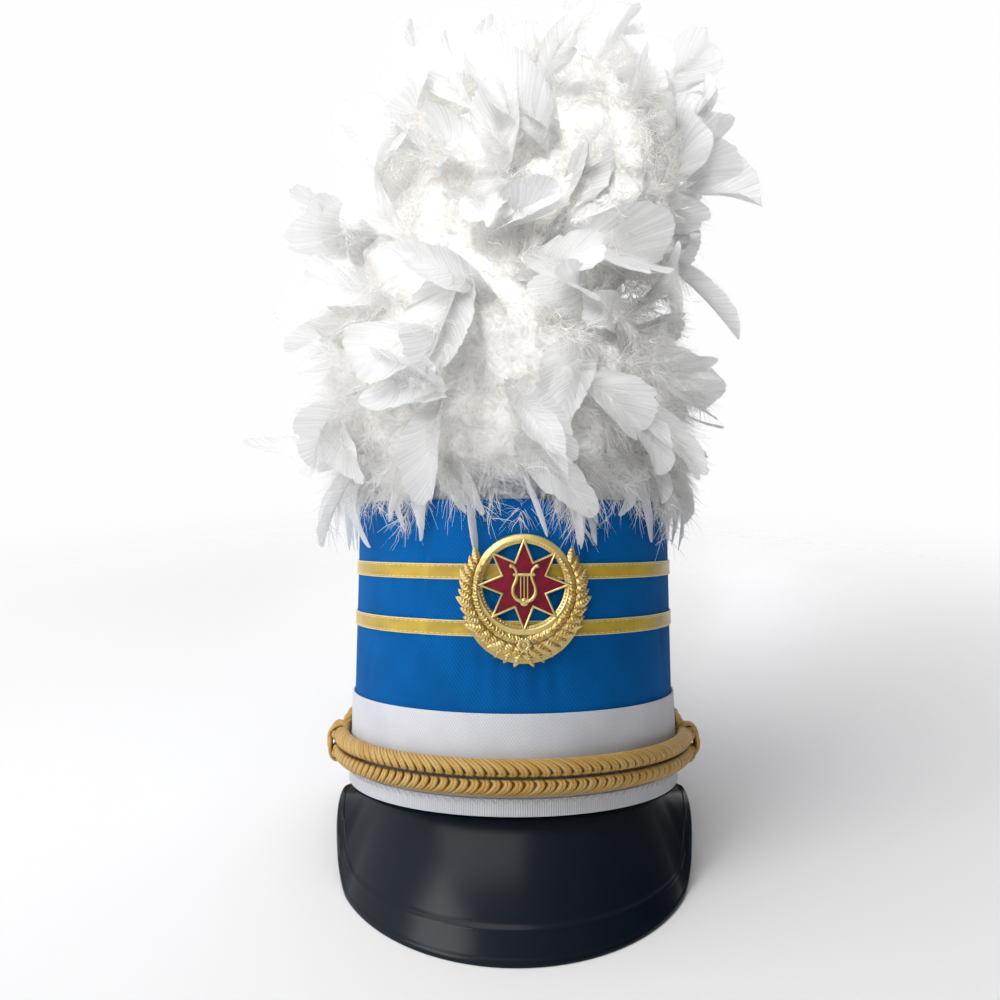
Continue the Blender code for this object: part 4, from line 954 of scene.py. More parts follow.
def make_stripe_stitches(thread):
    """Running stitches just inside both edges of each gold ribbon."""
    step, long, thick = 3.4, 2.3, 0.13
    shares = np.linspace(0, 1, 4)
    turns = stitch_turns(step, long, shares)
    outs = STRIPE_FACE + 0.10 * np.sin(np.pi * shares) - 0.10
    patches = []
    for middle in STRIPE_HEIGHTS.values():
        for edge in (-1, 1):
            paths = wall_points(turns, middle + edge * (STRIPE_WIDTH / 2 - 1.1), outs)
            patches.append(tubes(paths, thick, wall_normals(turns), 5))
    build("ribbon_stitches", patches, thread)


def peak_underside(across, run, lift):
    """Points of the peak's underside, at shares across it and shares of the way from rim to lip."""
    angle = np.radians(LIP_HALF_TURN * across)
    forward = LIP_CENTRE + (PEAK_REACH - LIP_CENTRE) * np.cos(angle)
    to_floor = (BACK_REACH + forward) * math.tan(REST_TILT)
    drop = flowing(LIP_ACROSS, LIP_DROP, np.abs(across))
    lip = np.stack([LIP_HALF_WIDTH * np.sin(angle), -forward, -to_floor * drop], -1)
    turns = PEAK_HALF_TURN * across
    root = wall_points(turns, 0.0, -FLANGE_SINK - PEAK_THICK) - (0, 0, PEAK_LEAD)
    along = lip - root
    out = unit(np.cross(wall_tangents(turns), -along))
    bow = PEAK_BULGE * 4 * run * (1 - run) * (1 - across * across) + lift * (1 - across**8)
    return root + along * run[..., None] + out * bow[..., None]


def make_peak(vinyl):
    """The moulded peak: a sheet with a raised border and a rolled lip, on a flange behind the band."""
    across = np.linspace(-1, 1, 221)
    runs = np.concatenate([np.linspace(0, BORDER_START - 0.02, 34), np.linspace(BORDER_START, 1, 20)])
    border = BORDER_RISE * smooth((runs - BORDER_START + 0.012) / 0.024)
    bead = 0.35 * ridge(runs, 0.985, 0.012) + 0.25 * ridge(runs - BORDER_START, 0.022, 0.008)
    under = peak_underside(*np.broadcast_arrays(across, runs[:, None], border[:, None]))
    shape = peak_underside(*np.broadcast_arrays(across, runs[:, None], (border + bead)[:, None]))
    turns = PEAK_HALF_TURN * across
    flange = wall_points(turns, np.linspace(PEAK_FLANGE, 1.0, 6)[:, None], -FLANGE_SINK - PEAK_THICK)
    sheet = np.concatenate([flange, shape])
    normals = unit(np.cross(np.gradient(sheet, axis=0), np.gradient(sheet, axis=1)))
    over = sheet + normals * PEAK_THICK
    bottom = np.concatenate([flange, under])
    edge_out = unit(sheet[-1] - sheet[-2])
    bend = np.radians((30, 60, 90, 120, 150))[:, None, None]
    centre = (over[-1] + bottom[-1]) / 2
    half = (over[-1] - bottom[-1]) / 2
    lip = centre + half * np.cos(bend) + edge_out * (PEAK_THICK * 0.62) * np.sin(bend)
    rows = np.concatenate([over, lip, bottom[::-1]])
    v = run_lengths(rows[:, len(across) // 2])
    v = np.append(v, v[-1] + PEAK_THICK)[:, None]
    u = run_lengths(over[-1])
    sheet_patch = lattice(rows, u, v, round_rows=True)
    lids = [lid(rows[:, 0][::-1]), lid(rows[:, -1])]
    build("peak_vinyl", [sheet_patch, *lids], vinyl, ["peak"], crease=45)


def strand_frame(places, height):
    """The centre line of a cord strand and its direction out of the hat, at distances from the front."""
    turns = turns_at(places, CORD_FACE)
    return wall_points(turns, height, CORD_FACE), wall_normals(turns)


def make_cord(yarn):
    """The cap cord: two plaited strands across the front, joined by plain loops behind the slides."""
    places = np.linspace(0, 200, 401)
    reach = float(np.interp(SLIDE_TURN, turns_at(places, CORD_FACE), places))
    count = int(2 * (reach + 2) / STITCH_PITCH)
    starts = (np.arange(count) - (count - 1) / 2) * STITCH_PITCH
    route_along, route_turn, route_out, thick, apart = spread_route(STITCH_ROUTE, 19).T
    patches = []
    for side in (1, -1):
        height = CORD_HEIGHT + side * STRAND_SHIFT
        shift = 0.0 if side > 0 else STITCH_PITCH / 2
        core, out = strand_frame(np.linspace(-reach - 3, reach + 3, 160), height)
        patches.append(tubes(core, CORD_RADIUS * 0.80, out, 10))
        for pair in (-0.5, 0.5):
            along = starts[:, None] + (route_along + pair * apart) * STITCH_PITCH + shift
            centre, out = strand_frame(along, height)
            angle = np.radians(route_turn * side)
            radial = out * np.cos(angle)[:, None] + UP * np.sin(angle)[:, None]
            paths = centre + radial * (route_out * CORD_RADIUS)[:, None]
            patches.append(tubes(paths, YARN_RADIUS * thick, radial, 6))
    for side in (-1, 1):
        patches += loop_yarns(side)
    build("cord_plait", patches, yarn, ["cap_cord"])


def spread_route(rows, count):
    """A table's columns, eased through its rows by a smooth curve of more points."""
    table = np.array(rows, float)
    keys = np.linspace(0, 1, len(table))
    at = np.linspace(0, 1, count)
    spread = np.stack([np.interp(at, keys, column) for column in table.T], -1)
    for _ in range(2):
        spread[1:-1] = (spread[:-2] + 2 * spread[1:-1] + spread[2:]) / 4
    return spread


def cord_places(side, along, above):
    """Points of the cord's centre line past a slide: along the wall from the slide, above CORD_HEIGHT."""
    turns = SLIDE_TURN + np.degrees(along / CORD_SWEEP)
    share = smooth((np.abs(along) - SLIDE_LENGTH / 2) / SLIDE_LENGTH)
    rest = np.where(along > 0, LOOP_FACE, CORD_FACE)
    return wall_points(side * turns, CORD_HEIGHT + above, SLIDE_FACE + (rest - SLIDE_FACE) * share)


def loop_line(side):
    """The centre line of an end loop, from the upper strand round the button to the lower one."""
    out_run = np.linspace(-0.3, 0.94, 26) * LOOP_RUN
    share = smooth((out_run - SLIDE_LENGTH / 2) / (LOOP_RUN - SLIDE_LENGTH / 2))
    apart = STRAND_SHIFT + (LOOP_RADIUS - STRAND_SHIFT) * share
    angle = np.linspace(math.pi / 2, -math.pi / 2, 25)
    along = np.concatenate([out_run, LOOP_RUN + LOOP_RADIUS * np.cos(angle), out_run[::-1]])
    bend = LOOP_RISE + LOOP_RADIUS * np.sin(angle)
    middle = LOOP_RISE * share
    above = np.concatenate([middle + apart, bend, (middle - apart)[::-1]])
    return cord_places(side, along, above), along


def loop_yarns(side):
    """Four yarns laid round each other in a long twist, as thick as the loop."""
    line, along = loop_line(side)
    turns = side * (SLIDE_TURN + np.degrees(along / CORD_SWEEP))
    out = wall_normals(turns)
    across = unit(np.cross(np.gradient(line, axis=0), out))
    lengths = run_lengths(line)
    ease = smooth((along - SLIDE_LENGTH / 2) / 8)
    radius = CORD_RADIUS * (1 + (LOOP_THIN - 1) * ease)
    patches = []
    for k in range(4):
        angle = 2 * np.pi * (lengths / 34 + k / 4)
        spot = out * np.cos(angle)[:, None] + across * np.sin(angle)[:, None]
        patches.append(tubes(line + spot * (radius * 0.50)[:, None], radius * 0.52, out, 8))
    return patches


def make_slide(side, name, yarn):
    """A woven knot of doubled yarn round both strands, over and under in three leads."""
    leads, bights, thick = 3, 4, 1.25
    sweep = np.linspace(0, 2 * np.pi * leads, 190, endpoint=False)
    weave = sweep * bights / leads
    centre = wall_points(side * SLIDE_TURN, CORD_HEIGHT, SLIDE_FACE)
    out, along = wall_normals(side * SLIDE_TURN), wall_tangents(side * SLIDE_TURN)
    patches = []
    for pair in (-1, 1):
        depth = CORD_RADIUS + thick * 0.3 + 0.5 * (1 + np.sin(2 * weave))
        tall = depth + STRAND_SHIFT
        ring = out * (depth * np.cos(sweep))[:, None] + UP * (tall * np.sin(sweep))[:, None]
        place = SLIDE_LENGTH * 0.31 * np.sin(weave) + pair * thick * 0.9
        path = centre + ring + along * place[:, None]
        patches.append(tubes(path, thick, unit(ring), 8, closed=True))
    build(f"slide_knot_{name}", patches, yarn, [f"cord_slide_{name}"])


def turned(profile, sides):
    """A turned form about +Z from a profile of (radius, height) rows."""
    profile = np.array(profile, float)
    angles = round_angles(sides)
    ring = np.stack([np.cos(angles), np.sin(angles), np.zeros(sides)], -1)
    points = ring * profile[:, :1, None] + profile[:, 1:, None] * UP
    u = profile[:, 0].max() * 2 * np.pi * np.arange(sides + 1) / sides
    return lattice(points, u, run_lengths(profile)[:, None], round_columns=True)


def facing(turn, height, outward, lean=0.0):
    """A frame on the crown's wall in mm: local Z out of it, Y up and X towards growing turns."""
    rows = [Vector(wall_tangents(turn)), Vector((0, 0, 1)), Vector(wall_normals(turn))]
    base = Matrix(rows).transposed().to_4x4()
    base.translation = Vector(wall_points(turn, height, outward))
    return base @ Matrix.Rotation(-lean, 4, "X")


def ball(radius, rings=6, sides=8):
    """A small round bead."""
    angles = np.linspace(-math.pi / 2, math.pi / 2, rings + 1)
    return turned([(radius * max(math.cos(a), 0.001), radius * math.sin(a)) for a in angles], sides)


def at_angle(radius, angle, height):
    """A point at an angle round +Z."""
    return Vector((radius * math.cos(angle), radius * math.sin(angle), height))


def set_down(patch, spot, heading=0.0):
    """A patch turned round +Z and moved to a spot."""
    return placed(patch, Matrix.Translation(spot) @ Matrix.Rotation(heading, 4, "Z"))


def circle_of(patch, count, radius, height):
    """Copies of a patch set in a circle."""
    return [set_down(patch, at_angle(radius, angle, height), angle) for angle in round_angles(count)]


def make_button(side, name, metal):
    """A domed button with a beaded rim, on its stem."""
    turn = SLIDE_TURN + math.degrees(LOOP_RUN / CORD_SWEEP)
    matrix = facing(side * turn, CORD_HEIGHT + LOOP_RISE, BAND_FACE + CLEARANCE)
    under = 2 * CORD_RADIUS * LOOP_THIN + CLEARANCE
    slope = np.radians(np.linspace(90, 0, 12))
    crown = [(6.9 * math.cos(a) + 0.001, under + 0.9 + (BUTTON_DOME - 0.9) * math.sin(a)) for a in slope]
    rim = [(7.1, under + 0.75), (7.7, under + 0.8), (8.3, under + 0.7), (BUTTON_RADIUS, under + 0.35)]
    foot = [(8.3, under), (BUTTON_STEM, under), (BUTTON_STEM - 0.2, 0), (0.001, 0)]
    patches = [turned([*crown, *rim, *foot], 56)]
    beads, bead, bead_ring = 44, 0.42, 7.75
    patches += circle_of(ball(bead), beads, bead_ring, under + 0.85)
    whole = [placed(patch, matrix) for patch in patches]
    build(f"domed_button_{name}", whole, metal, [f"side_button_{name}"], crease=40)


def star_row(radius, valley, height):
    """Points round the star at one height: its tips and valleys in turn, with a tip straight up."""
    angles = math.pi / 2 + math.pi * np.arange(2 * STAR_POINTS) / STAR_POINTS
    reach = np.where(np.arange(2 * STAR_POINTS) % 2, valley, radius)
    return np.stack([reach * np.cos(angles), reach * np.sin(angles), np.full(len(angles), height)], -1)


def star_inset(inset):
    """The star's radius and valley once its outline is moved in by a distance."""
    half = math.pi / STAR_POINTS
    tip = Vector((STAR_RADIUS, 0))
    valley = Vector((STAR_VALLEY * math.cos(half), STAR_VALLEY * math.sin(half)))
    slope = math.asin(abs((tip - valley).normalized().y))
    return STAR_RADIUS - inset / math.sin(slope), STAR_VALLEY - inset / math.sin(half + slope)


def laurel_leaf(length, width, rise):
    """A laurel leaf along +X: a raised midrib, deep side veins that slant to the tip, and a flat back."""
    u = np.linspace(0, 1, 33)
    v = np.linspace(-1, 1, 9)
    half = width / 2 * (np.sin(np.pi * u**0.8) ** 0.8 * 0.94 + 0.06 * (1 - u))
    crown = rise * (0.35 + 0.65 * np.sin(np.pi * u**0.7)) * (1 - 0.75 * u**3)
    grid_u, grid_v = np.meshgrid(u, v, indexing="ij")
    body = crown[:, None] * (1 - 0.55 * np.abs(grid_v) ** 1.6)
    veins = np.cos(2 * np.pi * (grid_u * length / 1.5 - 0.75 * np.abs(grid_v)))
    midrib = 0.35 * ridge(grid_v, 0, 0.2)
    height = body + (0.30 * veins * (1 - np.abs(grid_v) ** 4) + midrib) * np.sin(np.pi * grid_u) ** 0.4
    top = np.stack([length * grid_u, half[:, None] * grid_v, height], -1)
    low = top[:, [0, -1]] * (1, 1, 0)
    points = np.concatenate([low[:, :1], top, low[:, 1:]], 1)
    return lattice(points, np.linspace(0, width, points.shape[1]), (length * u)[:, None])


def badge_ring():
    """The badge's ring: a domed band between two fine lines, with beads along its inner edge."""
    share = np.linspace(0, 1, 15)
    swell = RING_RISE * (0.62 + 0.38 * np.sin(np.pi * share))
    lines = 0.28 * (ridge(share, 0.90, 0.05) + ridge(share, 0.42, 0.05))
    face = zip(RING_INNER + RING_WIDTH * share, swell + lines)
    profile = [(RING_INNER, 0.0), *face, (RING_RADIUS, 0.0)]
    beads, bead, bead_ring = 76, 0.52, RING_INNER + 0.72
    return [turned(profile, 160), *circle_of(ball(bead), beads, bead_ring, RING_RISE * 0.86)]


def badge_plate():
    """The flat ground behind the sprays, open inside the ring."""
    drop = SPRAY_FOOT + RING_WIDTH - RING_RADIUS
    sides = 120
    angles = round_angles(sides)
    rim = np.stack([np.cos(angles), np.sin(angles), np.zeros(sides)], -1)
    outer = rim * SPRAY_FOOT - (0, drop, 0)
    inner = rim * RING_INNER
    up = np.array((0, 0, BADGE_PLATE))
    rows = np.stack([inner, outer, outer + up, inner + up])
    u, v = np.arange(sides + 1.0), np.arange(5.0)[:, None]
    return lattice(rows, u, v, round_columns=True, round_rows=True)


def star_cell():
    """The star's tray: a floor for the enamel and a raised wall round it."""
    radius, valley = star_inset(STAR_BORDER)
    edge_radius, edge_valley = star_inset(STAR_BORDER / 2)
    rows = [
        star_row(0.001, 0.001, 0.2),
        star_row(STAR_RADIUS, STAR_VALLEY, 0.2),
        star_row(STAR_RADIUS, STAR_VALLEY, STAR_RISE - 0.25),
        star_row(edge_radius, edge_valley, STAR_RISE),
        star_row(radius, valley, STAR_RISE - 0.25),
        star_row(radius, valley, STAR_FLOOR),
        star_row(0.001, 0.001, STAR_FLOOR),
    ]
    count = 2 * STAR_POINTS
    return lattice(np.stack(rows), np.arange(count + 1.0), np.arange(7.0)[:, None], round_columns=True)


def laurel_sprays():
    """Two sprays of close veined leaves, with smaller leaves between the source's, and their berries."""
    patches = []
    berry = ball(0.8, 8, 12)
    for side in (-1, 1):
        for i in range(-2, LEAF_BETWEEN * (LEAF_PAIRS - 1) + 1):
            share = i / (LEAF_BETWEEN * (LEAF_PAIRS - 1))
            full = i % LEAF_BETWEEN == 0
            angle = math.radians(-90 + side * (SPRAY_START + (SPRAY_END - SPRAY_START) * share))
            radius = SPRAY_FOOT + (SPRAY_TIP - SPRAY_FOOT) * share
            size = (1 - LEAF_SHRINK * share) * (1.0 if full else 0.86)
            rise = LEAF_RISE * (1.0 if full else 0.8)
            leaf = laurel_leaf(LEAF_LENGTH * size, LEAF_WIDTH * size * 0.86, rise)
            for inner, spread in enumerate(LEAF_SPREADS):
                heading = angle + side * math.radians(90 - spread)
                base = radius * (1 - LEAF_STAGGER * inner)
                patches.append(set_down(leaf, at_angle(base, angle, 0.2 + 0.2 * (i % 3)), heading))
            if share < FOOT_SHARE:
                long = FOOT_LEAF * (1 - share / FOOT_SHARE * 0.55)
                leaf = laurel_leaf(long, LEAF_WIDTH * 0.75, LEAF_RISE * 0.7)
                heading = angle + side * math.radians(90 - FOOT_SPREAD)
                patches.append(set_down(leaf, at_angle(radius, angle, 0.15), heading))
            patches.append(set_down(berry, at_angle(base, angle + side * math.radians(4), LEAF_RISE)))
    return patches


def spray_tie():
    """The tie at the foot: a fluted rosette with a boss."""
    share = np.linspace(0, 1, 9)
    profile = [(0.001, TIE_RISE + 0.5), (1.0, TIE_RISE + 0.35), (1.3, TIE_RISE - 0.1)]
    profile += [(1.3 + (TIE_RADIUS - 1.3) * s, TIE_RISE - 0.1 + 0.3 * math.sin(math.pi * s)) for s in share]
    profile += [(TIE_RADIUS, 0.2)]
    disc = turned(profile, 64)
    radial = np.hypot(disc.points[:, 0], disc.points[:, 1])
    angle = np.arctan2(disc.points[:, 1], disc.points[:, 0])
    flute = 1 + 0.10 * np.cos(10 * angle) * smooth((radial - 1.3) / 1.5)
    disc.points[:, :2] *= flute[:, None]
    return set_down(disc, (0, -SPRAY_FOOT, 0))


def lyre():
    """The lyre: two arms that end in scrolls, a bar, strings and a foot, on two short posts."""
    half = LYRE_HEIGHT / 2
    patches = []
    for side in (-1, 1):
        arm = spread_route([(side * x * half, y * half, LYRE_LIFT) for x, y in LYRE_ARM], 30)
        radii = LYRE_WIRE * (1.1 - 0.35 * np.linspace(0, 1, 30))
        patches.append(tubes(arm, radii, UP, 10))
        scroll = Vector(arm[-1]) + Vector((side * 0.3, -0.3, 0))
        patches.append(set_down(ball(1.05, 8, 12), scroll))
    reach, height = LYRE_BAR[0] * half, LYRE_BAR[1] * half
    bar = [(x, height, LYRE_LIFT) for x in (-reach, 0, reach)]
    patches.append(tubes(bar, 0.8, UP, 10))
    for x in LYRE_STRINGS:
        string = [(x * half, LYRE_ARM[0][1] * half, LYRE_LIFT), (x * half, height, LYRE_LIFT)]
        patches.append(tubes(string, STRING_WIRE, UP, 8))
    foot = turned([(0.001, 1.0), (1.3, 0.8), (2.0, 0.0), (1.6, -0.9), (0.9, -1.6), (0.9, -2.2)], 32)
    patches.append(set_down(foot, (0, LYRE_ARM[0][1] * half, LYRE_LIFT)))
    post = turned([(1.1, 0.0), (1.1, LYRE_LIFT - STAR_FLOOR)], 20)
    patches.append(set_down(post, (0, height, STAR_FLOOR)))
    return patches


def make_badge(metal, enamel):
    """The badge: a gilt casting and the red enamel in its star."""
    matrix = facing(BADGE_TURN, BADGE_HEIGHT, STRIPE_FACE + CLEARANCE, WALL_LEAN)
    patches = [*badge_ring(), badge_plate(), star_cell(), *laurel_sprays(), spray_tie(), *lyre()]
    casting = [placed(patch, matrix) for patch in patches]
    build("badge_casting", casting, metal, ["badge"], crease=42)
    radius, valley = star_inset(STAR_BORDER + 0.05)
    high = STAR_RISE - ENAMEL_SINK
    rows = [star_row(radius, valley, STAR_FLOOR + 0.05), star_row(radius, valley, high)]
    for s in (0.92, 0.75, 0.5, 0.25, 0.001):
        rows.append(star_row(radius * s, valley * s, high + ENAMEL_RISE * (1 - s * s)))
    count = 2 * STAR_POINTS
    glass = lattice(np.stack(rows), np.arange(count + 1.0), np.arange(7.0)[:, None], round_columns=True)
    build("badge_glass", [placed(glass, matrix)], enamel, ["badge_enamel"], crease=25)


def heap_middles(rises):
    """Middles of the heap of down at shares of the plume's height."""
    rises = np.asarray(rises, float)
    across = PLUME_HALF_WIDTH * eased(HEAP_RISES, HEAP_ACROSS, rises)
    return np.stack([across, np.zeros_like(across), PLUME_FOOT + PLUME_HEIGHT * rises], -1)


def heap_points(rises, turns):
    """Points on the heap's face."""
    rises, turns = np.broadcast_arrays(np.asarray(rises, float), np.asarray(turns, float))
    wide = PLUME_HALF_WIDTH * eased(HEAP_RISES, HEAP_WIDE, rises)
    deep = PLUME_HALF_DEPTH * eased(HEAP_RISES, HEAP_DEEP, rises)
    swell = 0.0
    for mound in MOUNDS:
        aside = turn_gap(turns, mound.turn) / mound.spread
        above = (rises - mound.rise) / mound.tall
        swell = swell + MOUND_SWELL * mound.swell * np.exp(-aside * aside - above * above)
    angles = np.radians(turns)
    out = [(wide + swell) * np.sin(angles), -(deep + swell) * np.cos(angles), np.zeros_like(angles)]
    return heap_middles(rises) + np.stack(out, -1)


def share_point(across, depth, rise):
    """A point given as shares of the plume's sizes."""
    return np.array((PLUME_HALF_WIDTH * across, PLUME_HALF_DEPTH * depth, PLUME_FOOT + PLUME_HEIGHT * rise))


# Feathers: the root, bend and tip of each shaft, the direction of its web, and the web's width
Feathers = namedtuple("Feathers", "root bend tip side width")
WEB_HALF = 0.62  # length of the longest barbs of a web, as a share of its width
WEB_SLANTS = (58, 24)  # degrees that the barbs stand off the shaft at the root and at the tip
WEB_SPLITS = 3  # in each half of a web
DOWN_CURL = 0.22  # how far a loose barb bends along the shaft, as a share of its length
DOWN_WAVE = 0.10  # and how far it waves
DOWN_STEPS = 32  # places along a shaft that loose barbs may grow on
HEM_RISE = 0.08  # height at which the hem is rooted, as a share of the plume's
CORE_REACH = 0.88  # how far the core reaches, as a share of the heap
CORE_LUMPS = 0.035


def join_feathers(groups):
    """Several groups of feathers as one."""
    return Feathers(*(np.concatenate(columns) for columns in zip(*groups)))


def show_feathers():
    """The long feathers that break the outline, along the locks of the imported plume."""
    rows = []
    for lock in SHOW_LOCKS:
        root, tip = share_point(lock.x0, lock.y0, lock.z0), share_point(lock.x1, lock.y1, lock.z1)
        bend = (root + tip) / 2 - np.array((0, 0, lock.sag * np.linalg.norm(tip - root)))
        outward = unit(np.array((lock.x1, lock.y1, 0.0)))
        side = np.cross(tip - root, outward + np.array((0, -0.5, LOCK_TWIST)))
        rows.append((root, bend, tip, side, lock.width * PLUME_HEIGHT))
    return Feathers(*(np.array(column, float) for column in zip(*rows)))


def leaning_feathers(rise, turn, reach, width, lean, roll):
    """Feathers rooted in the heap: lean is in degrees off its face, and roll from upwards to sideways."""
    foot = heap_points(rise, turn)
    out = unit(foot - heap_middles(rise))
    level = np.cross(UP, out)
    roll, lean = np.radians(roll)[:, None], np.radians(lean)[:, None]
    slant = UP * np.cos(roll) + level * np.sin(roll)
    heading = out * np.sin(lean) + slant * np.cos(lean)
    reach = reach[:, None]
    root = foot - out * ROOT_DEPTH * reach
    tip = foot + heading * reach
    bend = foot + (out * CURL_OUT + slant * CURL_ALONG) * reach
    return Feathers(root, bend, tip, np.cross(heading, out), width)


def ring_feathers():
    """The shorter feathers in rings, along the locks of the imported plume."""
    rows = []
    for ring in LOCK_RINGS:
        for i in range(ring.count):
            sway = SWAY * math.sin(GOLDEN_ANGLE * i + 9 * ring.rise)
            turn = ring.turn + 360 * i / ring.count + sway / 2
            reach = LOCK_REACH * ring.reach * (1 + REACH_SWAY * math.cos(GOLDEN_ANGLE * i))
            width = ring.width * PLUME_HEIGHT
            rows.append((ring.rise, turn, reach, width, ring.lean + sway, ring.roll + ROLL_SWAY * sway))
    return leaning_feathers(*np.array(rows, float).T)


def filling_feathers(count, rng, reach, width, lean, rises):
    """More feathers spread over the heap, which lie downwards near its foot and upwards near its top."""
    i = np.arange(count)
    rise = rises[0] + (rises[1] - rises[0]) * (i + rng.random(count)) / count
    turn = np.degrees(GOLDEN_ANGLE * i) + rng.normal(0, 8, count)
    fall = np.interp(rise, (0.02, 0.2, 0.4, 0.6, 0.9), (160, 130, 80, 50, 30))
    roll = fall * np.where(rng.random(count) < 0.5, -1, 1) + rng.normal(0, 26, count)
    top = 1 - 0.45 * smooth((rise - 0.62) / 0.22)
    reaches = rng.uniform(*reach, count) * top
    return leaning_feathers(rise, turn, reaches, rng.uniform(*width, count), rng.uniform(*lean, count), roll)


def kept_in(feathers, rng):
    """Feathers whose tips end inside the plume's outline, as the photo shows it from the front."""
    rise = (feathers.tip[:, 2] - PLUME_FOOT) / PLUME_HEIGHT
    view = 1 - feathers.tip[:, 1] / CAMERA_PLACE[1]
    inside = rng.uniform(2, 14, len(rise))
    left = PLUME_HALF_WIDTH * np.interp(rise, OUTLINE_RISES, OUTLINE_LEFT) * view + inside
    right = PLUME_HALF_WIDTH * np.interp(rise, OUTLINE_RISES, OUTLINE_RIGHT) * view - inside
    tip = feathers.tip.copy()
    tip[:, 0] = np.clip(tip[:, 0], left, np.maximum(left, right))
    tip[:, 2] = np.minimum(tip[:, 2], PLUME_FOOT + PLUME_HEIGHT * 0.98 - inside)
    return feathers._replace(tip=tip)


def hem_feathers(count, rng, hang, width):
    """Feathers that come over the crown's edge in bunches and hang down its wall."""
    turn = 360 * (np.arange(count) + rng.uniform(-0.35, 0.35, count)) / count
    turn = turn + 6 * np.sin(np.radians(7 * turn + 40)) + 3 * np.sin(np.radians(13 * turn))
    drop = rng.uniform(*hang, count)
    rise = np.full(count, HEM_RISE)
    centre = heap_middles(rise)
    root = centre + (heap_points(rise, turn) - centre) * rng.uniform(0.72, 0.9, count)[:, None]
    slip = rng.normal(0, 9, count)
    tip = wall_points(turn + slip, CROWN_HEIGHT - drop, rng.uniform(2.0, 8.0, count))
    bend = wall_points(turn + slip / 3, CROWN_HEIGHT, 10.0 + rng.uniform(0, 7, count))
    bend = bend + np.stack([np.zeros(count), np.zeros(count), rng.uniform(12, 24, count)], -1)
    return Feathers(root, bend, tip, wall_tangents(turn), rng.uniform(*width, count))


def shaft_frames(feathers, shares):
    """Points, directions, web directions and faces along the shafts, as arrays (feather, share, 3)."""
    t = np.asarray(shares, float)[:, None]
    root, bend, tip = (getattr(feathers, name)[:, None] for name in ("root", "bend", "tip"))
    points = root * (1 - t) ** 2 + bend * (2 * t * (1 - t)) + tip * t**2
    along = unit((bend - root) * (1 - t) + (tip - bend) * t)
    side = feathers.side[:, None]
    level = unit(side - along * dot(side, along))
    return points, along, level, np.cross(along, level)


def ribbons(lines, across, halves, v):
    """Flat strips along lines (..., points, 3), with their half widths."""
    points = np.stack([lines - across * halves, lines + across * halves], -2)
    u = np.stack([-halves[..., 0], halves[..., 0]], -1)
    return lattice(points, u, v)


def shafts(feathers, thick):
    """Tapered quills."""
    points, _, level, face = shaft_frames(feathers, np.linspace(0.0, 0.97, 9))
    return tubes(points, thick * np.linspace(1, 0.25, 9), face, 4)


def webs(feathers, rng, rows=40, torn=0.25, narrow=1.0, late=0.9):
    """The webs of flat feathers: folded sheets of barbs, parted by a few splits and drawn in near the root.

    A web with a larger late is widest nearer its tip. Its barbs end about where its shaft does.
    """
    count = len(feathers.width)
    t = np.linspace(0.08, 1.0, rows)
    base, along, level, face = shaft_frames(feathers, t)
    length = np.linalg.norm(feathers.tip - feathers.root, axis=-1)[:, None]
    outline = np.sin(np.pi * t**late) ** rng.uniform(0.5, 1.0, (count, 1))
    outline = outline * (0.15 + 0.85 * smooth((t - 0.06) / 0.42))
    half = WEB_HALF * (narrow * feathers.width)[:, None]
    cup = rng.normal(0.28, 0.30, (count, 1))
    s = np.linspace(0, 1, 6)[:, None]
    patches = []
    for hand in (-1, 1):
        edge = 1 + rng.normal(0, 0.015, (count, rows)) + 0.08 * np.sin(9 * t + rng.uniform(0, 6, (count, 1)))
        for _ in range(WEB_SPLITS):
            ahead = t - rng.uniform(0.25, 1.0, (count, 1))
            gap = np.where(ahead > 0, 0.008, 0.035)
            edge = edge * (1 - rng.uniform(0, torn, (count, 1)) * np.exp(-np.abs(ahead) / gap))
        size = np.minimum(half * outline, 0.9 * ((1 - t) * length + 4)) * edge
        waves, start = rng.uniform(0.6, 1.6, (2, count, 1))
        fold = rng.normal(0, 0.22, (count, 1)) * np.sin(2 * np.pi * (t * waves + start))
        slant = WEB_SLANTS[0] + (WEB_SLANTS[1] - WEB_SLANTS[0]) * t
        angle = np.radians(slant + rng.normal(0, 1.0, (count, rows)))
        size, angle, bow = (grid[..., None, None] for grid in (size, angle, fold - cup))
        lines = (
            base[:, :, None]
            + hand * level[:, :, None] * size * np.sin(angle) * (s - 0.12 * s**3)
            + along[:, :, None] * size * (np.cos(angle) * s + 0.25 * s**2)
            + face[:, :, None] * size * bow * s**2
        )
        patches.append(lattice(lines, (length * t)[..., None], (size * s)[..., 0]))
    return patches


